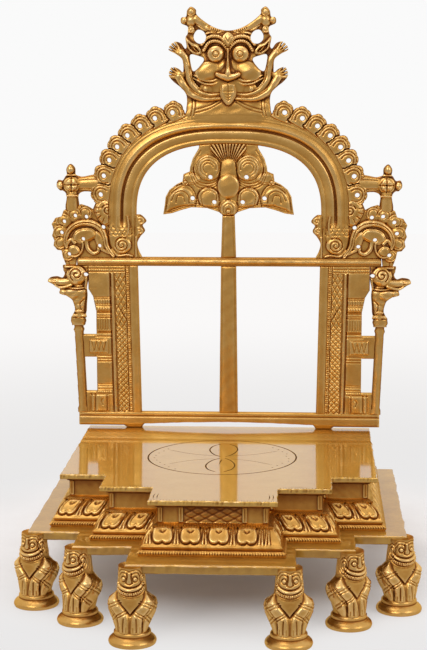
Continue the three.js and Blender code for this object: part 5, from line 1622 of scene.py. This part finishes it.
def lion_field():
    """The squatting lion unrolled round a cylinder: X runs round it, with 0 in front."""
    radius, fine = 13, 27
    front = np.arange(-fine, fine + 0.01, 0.48)
    rear = np.arange(fine, 2 * math.pi * radius - fine, 1.6)[1:]
    z = np.linspace(FOOT_TOP - 0.6, LION_TOP + 4.6, 112)
    U, Z = np.meshgrid(np.concatenate([front, rear]), z)
    U = np.where(U > math.pi * radius, U - 2 * math.pi * radius, U)
    theta = U / radius
    levels = [9, 12, 18, 23, 27, 30.5, 33.4, 35.4, 38, 42, 47, 54]
    girth = np.interp(Z, levels, [10.2, 10.8, 12.8, 14.9, 15.9, 15.2, 12.2, 10.0, 9.9, 9.5, 9.0, 8.8])
    chest = np.interp(Z, levels, [11.8, 11.8, 10.8, 9.8, 9.4, 9.4, 9.8, 11.0, 11.8, 11.2, 10.2, 9.6])
    spine = np.interp(Z, levels, [10.0, 10.4, 11.2, 11.6, 11.4, 10.6, 9.8, 9.4, 9.4, 9.4, 9.2, 9.0])
    f = Field(U, Z)
    f.h = girth * np.sin(theta) ** 2 + np.cos(theta) ** 2 * np.where(np.cos(theta) > 0, chest, spine)
    for side in BOTH:
        m = on_side(side)
        # Forearm that runs in from the shoulder to the long paws, and the folded hind leg outside it
        f.ridge(m([(25, 27), (20.4, 22), (15.8, 16.4), (12.6, 11.4)]), [5.6, 5.0, 4.4, 3.6], 1.3, add=True)
        f.ridge(
            m([(16.4, 33), (12.6, 27.4), (8.4, 22), (5.6, 17.4), (5.2, 11)]), [3.6, 4.4, 4.6, 4.6, 4.6], 1.5,
            add=True
        )
        f.groove(m([(15.2, 36.2), (11.0, 31.6), (6.8, 27.2), (3.0, 23.8), (0.5, 21.4)]), 0.6, 1.3)
        f.groove(m([(19.2, 32.0), (16.4, 28.4), (12.6, 23.4), (10.0, 18.8), (9.8, 10.4)]), 0.6, 1.2)
        for cx, cz in ((12.4, 28.9), (11.2, 27.5), (7.5, 22.2), (6.6, 20.8)):
            f.groove(m([(cx - 3.7, cz + 2.2), (cx + 3.9, cz - 2.2)]), 0.42, 0.85, curved=False)
        for cx, cz in ((20.8, 26.2), (19.4, 24.6), (14.9, 19.0), (13.7, 17.5)):
            f.groove(m([(cx - 2.6, cz + 2.4), (cx + 3.6, cz - 3.0)]), 0.42, 0.75, curved=False)
        f.groove(m([(4.8, 19.4), (4.9, 15), (4.8, 10.4)]), 0.45, 0.9)
        for x in (2.4, 7.4):
            f.groove(m([(x, 13.6), (x, 10.4)]), 0.36, 0.5, curved=False)
        # Small eye under two brow lines, a line beside the nose, and the mane's whorl at the side
        f.dome(side * 5.2, 46.6, 2.1, 1.5, 0.7, add=True)
        f.groove(
            m([(2.9, 46.4), (4.0, 47.9), (6.2, 48.1), (7.9, 46.6), (6.6, 45.1), (4.2, 44.9), (2.9, 46.4)]),
            0.4, 0.8
        )
        f.groove(m([(2.2, 49.6), (5.0, 50.6), (8.4, 50.2), (10.8, 47.8)]), 0.45, 0.8)
        f.groove(m([(0.6, 51.6), (4.6, 52.6), (9.0, 52.2), (12.4, 50.2)]), 0.42, 0.7)
        f.groove(m([(2.0, 50.6), (2.0, 46.8), (2.8, 44.2)]), 0.45, 0.8)
        f.groove(coil(side * 15.2, 45.0, 5.0, side * 1.8, 90, 0.25), 0.5, 0.95, curved=False)
        f.groove(coil(side * 15.2, 45.0, 6.6, side * 0.62, -50, 0.8), 0.45, 0.75, curved=False)
        f.groove(m([(22.4, 50.4), (23.2, 44.4), (20.8, 38.4)]), 0.5, 0.9)
        for x in (26.4, 30.4, 34.4, 38.4):
            f.groove(m([(x, 51.0), (x + 1.2, 44), (x - 0.6, 37)]), 0.9, 0.9)
    # Flat nose, wide mouth with a full lower lip, and the beads of the collar under the chin
    f.ridge([(0, 50.6), (0, 47), (0, 45.0)], [0.9, 1.0, 1.9], 0.6, add=True)
    f.groove([(-2.8, 44.0), (0, 43.2), (2.8, 44.0)], 0.45, 0.8)
    mouth = [(-13.6, 44.4), (-9.6, 42.6), (-5, 41.4), (0, 40.9), (5, 41.4), (9.6, 42.6), (13.6, 44.4)]
    lowered = lambda drop: moved(0, -drop)(mouth)
    f.groove(mouth, 0.55, 1.1)
    f.ridge(lowered(1.5), 1.3, 0.8, add=True)
    f.groove(lowered(2.9), 0.5, 1.0)
    collar = lowered(4.7)
    f.ridge(collar, 1.3, 0.9, add=True)
    f.ticks(collar, 1.7, 1.4, 1.0)
    f.groove(lowered(6.5), 0.5, 0.9)
    f.groove(lowered(8.0)[1:-1], 0.38, 0.5)
    return z, theta, f


def lion_mesh():
    """Points, quads, triangles and tones of one leg, whose axis stands at the origin."""
    z, theta, f = lion_field()
    rows, columns = f.h.shape
    # The head leans forward over the foot, and a little of the plate rests on it
    lean = np.interp(z, [10, 30, 38, 49, 54], [0, 0, 1.2, 1.8, 1.8])[:, None]
    x, y = f.h * np.sin(theta), 0.6 - lean - f.h * np.cos(theta)
    lion = np.stack([x, y, np.repeat(z[:, None], columns, 1)], -1).reshape(-1, 3)
    crown = len(lion)
    points = [*lion, (0, -1.2, z[-1]), (0, 0.6, z[0])]
    patina = recess(f.h, np.ones(f.h.shape, bool), (0.43, 0.5), 1.3)
    point_tones = [*patina.ravel(), 0.4, 0.4]
    quads = [*stacked(rows, columns)]
    tris = capped((rows - 1) * columns, columns, crown, 1) + capped(0, columns, crown + 1, -1)
    # Turned foot: a disc with a rounded edge, a step and a domed ring, from the floor up
    profile = [
        (0, 0.0), (14.0, 0.0), (15.7, 0.6), (16.15, 2.0), (15.6, 3.5), (14.2, 4.9), (12.7, 5.9), (12.1, 6.4),
        (12.5, 7.2), (12.4, 8.5), (11.6, 9.4), (10.6, 10.0), (9.8, 10.3), (0, 10.3),
    ]
    outline = smooth(profile, False, 3)[1:-1]
    around, first, count = 60, len(points), len(outline)
    for radius, height in outline:
        for i in range(around):
            angle = 2 * math.pi * i / around
            points.append((radius * math.sin(angle), -radius * math.cos(angle), max(height, 0.0)))
            point_tones.append(0.24 + (0.45 if 6.0 < height < 6.8 else 0) + (0.25 if height > 9.6 else 0))
    quads += [*stacked(count, around, first)]
    centre = len(points)
    points += [(0, 0, 0), (0, 0, 10.2)]
    point_tones += [0.4, 0.4]
    tris += capped(first, around, centre, -1) + capped(first + (count - 1) * around, around, centre + 1, 1)
    return np.array(points), quads, tris, point_tones


def build_legs():
    points, quads, tris, point_tones = lion_mesh()
    plan = stepped_plan(*LEDGE)
    for name, step, side, at_back, facing in LEGS:
        inset = LEG_INSET_SIDE_AT_BACK if at_back else LEG_INSET_SIDE
        x = side * (NECK_HALF[step] + LEDGE[0][step] - inset)
        y = -(NECK_FRONT[step] + LEDGE[1][step] - LEG_INSET_FRONT)
        if at_back:
            y = NECK_BACK + LEDGE[2] - LEG_INSET_BACK
        placed = points.copy()
        placed[:, :2] = turned(points[:, :2], x, y, facing)
        under = signed(placed[:, 0], placed[:, 1], plan) > -0.3
        placed[:, 2] = np.where(under, np.minimum(placed[:, 2], LION_TOP), placed[:, 2])
        piece = build_mesh(f"lion_{name}", placed, quads, tris, point_tones, cast_brass, 60)
        put(piece, "base", "cast_brass", f"leg_{name}")


def build_tenons():
    """The two tenons under the back, which drop into the slab's slots."""
    low, high, bevel = SLAB_TOP - 15, SLAB_TOP + 2, 0.5
    for side, name in zip(BOTH, ("left", "right")):
        rings = []
        for z, shrink in ((low, 1.2), (low + 2, 0.3), (low + 3, 0), (high, 0)):
            w, d = TENON_HALF[0] - shrink, TENON_HALF[1] - shrink * 0.4
            lower = [(-w + bevel, -d), (w - bevel, -d), (w, -d + bevel), (w, d - bevel)]
            corners = [*lower, *[(-x, -y) for x, y in lower]]
            rings += [(x, y, z) for x, y in moved(side * TENON_X, TENON_Y)(corners)]
        tris = [(0, i + 1, i) for i in range(1, 7)] + [(24, 24 + i, 25 + i) for i in range(1, 7)]
        point_tones = [REAR_TONE] * len(rings)
        piece = build_mesh(f"tenon_{name}", rings, stacked(4, 8), tris, point_tones, cast_brass, 30)
        put(piece, "back", "cast_brass")


for build in (
    build_sill, build_transom, build_mullions, build_jambs, build_panels, build_columns, build_arch,
    build_crest, build_brackets, build_makaras, build_finials, build_yalis, build_canopy, build_mask,
    build_plinth, build_slab, build_lower_plate, build_legs, build_tenons
):
    build()


# Floor, light and camera


def seen(tree, path):
    """1 for the rays that look at a thing or mirror it, and 0 for those that only light another."""
    direct = calculated(tree, "MAXIMUM", path["Is Camera Ray"], path["Is Glossy Ray"])
    return calculated(tree, "MAXIMUM", direct, path["Is Transmission Ray"])


def build_floor():
    """A round pale floor that turns into the studio's even white away from the object."""
    reach, steps = 2.6, 64
    corners = [(*ray(0, 0, 360 * i / steps, reach)[0], 0) for i in range(steps)]
    mesh = bpy.data.meshes.new("floor")
    mesh.from_pydata(corners, [], [list(range(steps))])

    def shade(tree):
        where = node(tree, "ShaderNodeTexCoord").outputs["Object"]
        cloud = noise(tree, where, 9.0, 8.0, 0.62)
        colour = ramp(tree, cloud, [(0.3, (0.72, 0.685, 0.67)), (0.7, (0.82, 0.79, 0.78))])
        return {"Base Color": colour, "Roughness": 0.55, "Specular IOR Level": 0.2}

    material = new_material("pale_floor", shade)
    tree = material.node_tree
    where = node(tree, "ShaderNodeTexCoord").outputs["Object"]
    centre = (0, 0.12, 0)
    away = node(tree, "ShaderNodeVectorMath", where, centre, operation="DISTANCE").outputs["Value"]
    share = ranged(tree, away, 0.14, 0.28, 0.0, 1.0, "SMOOTHSTEP")
    # In the metal's reflections the far floor is dimmer on the camera's side, as the studio is
    path = node(tree, "ShaderNodeLightPath").outputs
    y = node(tree, "ShaderNodeSeparateXYZ", where).outputs["Y"]
    mirrored = ranged(tree, y, -0.45, 0.15, 0.55, 1.0, "SMOOTHSTEP")
    plain = ranged(tree, away, 0.3, 1.2, 0.86, 1.0, "SMOOTHSTEP")
    less = calculated(tree, "SUBTRACT", plain, mirrored)
    strength = calculated(tree, "MULTIPLY_ADD", less, path["Is Camera Ray"], mirrored)
    glow = node(tree, "ShaderNodeEmission", (0.956, 0.944, 0.94, 1), strength)
    part = calculated(tree, "MULTIPLY", share, seen(tree, path))
    mix = mixed(tree, part, tree.nodes["Principled BSDF"], glow)
    feed(tree, tree.nodes["Material Output"].inputs["Surface"], mix.outputs[0])
    mesh.materials.append(material)
    add_object("floor", mesh)


def build_world():
    """A studio that is white behind and above the object, and dimmer on the camera's side."""
    world = bpy.data.worlds.new("studio")
    bpy.context.scene.world = world
    world.use_nodes = True
    tree = world.node_tree
    path = node(tree, "ShaderNodeLightPath").outputs
    way = node(tree, "ShaderNodeSeparateXYZ", node(tree, "ShaderNodeTexCoord").outputs["Generated"]).outputs
    lean = calculated(tree, "MULTIPLY_ADD", way["Z"], 0.7, way["Y"])
    depth = ranged(tree, lean, -0.75, 0.35, 0.58, 1.0, "SMOOTHSTEP")
    lit = node(tree, "ShaderNodeBackground", (1, 1, 1, 1), 0.86)
    studio = node(tree, "ShaderNodeBackground", (1, 1, 1, 1), depth)
    backdrop = node(tree, "ShaderNodeBackground", (0.956, 0.956, 0.956, 1), 1.0)
    shone = mixed(tree, seen(tree, path), lit, studio)
    mix = mixed(tree, path["Is Camera Ray"], shone, backdrop)
    feed(tree, tree.nodes["World Output"].inputs["Surface"], mix.outputs[0])


def add_lamp(name, place, aim, size, power):
    light = bpy.data.lights.new(name, "AREA")
    light.shape = "RECTANGLE"
    light.size, light.size_y = size
    light.energy = power
    lamp = add_object(name, light)
    lamp.location = place
    lamp.rotation_euler = (Vector(aim) - Vector(place)).to_track_quat("-Z", "Y").to_euler()


def build_camera():
    """The camera that was fitted to the corners of the base and the back, with its place in mm."""
    yaw, pitch, roll = 0.0562, 0.1541, -0.0018
    place = Vector((63.6052, -1219.1274, 383.4149))
    ahead = Vector((-math.sin(yaw) * math.cos(pitch), math.cos(yaw) * math.cos(pitch), -math.sin(pitch)))
    level = Vector((math.cos(yaw), math.sin(yaw), 0))
    upright = level.cross(ahead)
    right = level * math.cos(roll) + upright * math.sin(roll)
    up = upright * math.cos(roll) - level * math.sin(roll)
    data = bpy.data.cameras.new("camera")
    data.sensor_fit = "AUTO"
    data.sensor_width = 36
    data.lens = 94.606
    data.clip_start, data.clip_end = 0.05, 20
    camera = add_object("camera", data)
    turn = Matrix((right, up, -ahead)).transposed().to_4x4()
    camera.matrix_world = Matrix.Translation(place * MM) @ turn
    bpy.context.scene.camera = camera


build_floor()
build_world()
add_lamp("key", (-0.6, -1.5, 1.1), (0, 0, 0.05), (1.0, 0.8), 10)
add_lamp("fill", (1.3, -1.0, 1.0), (0, 0, 0.1), (0.9, 0.7), 5)
add_lamp("top", (-0.15, 0.2, 1.5), (0, 0, 0.1), (1.0, 0.7), 6)
build_camera()
bpy.context.scene.view_settings.view_transform = "Standard"
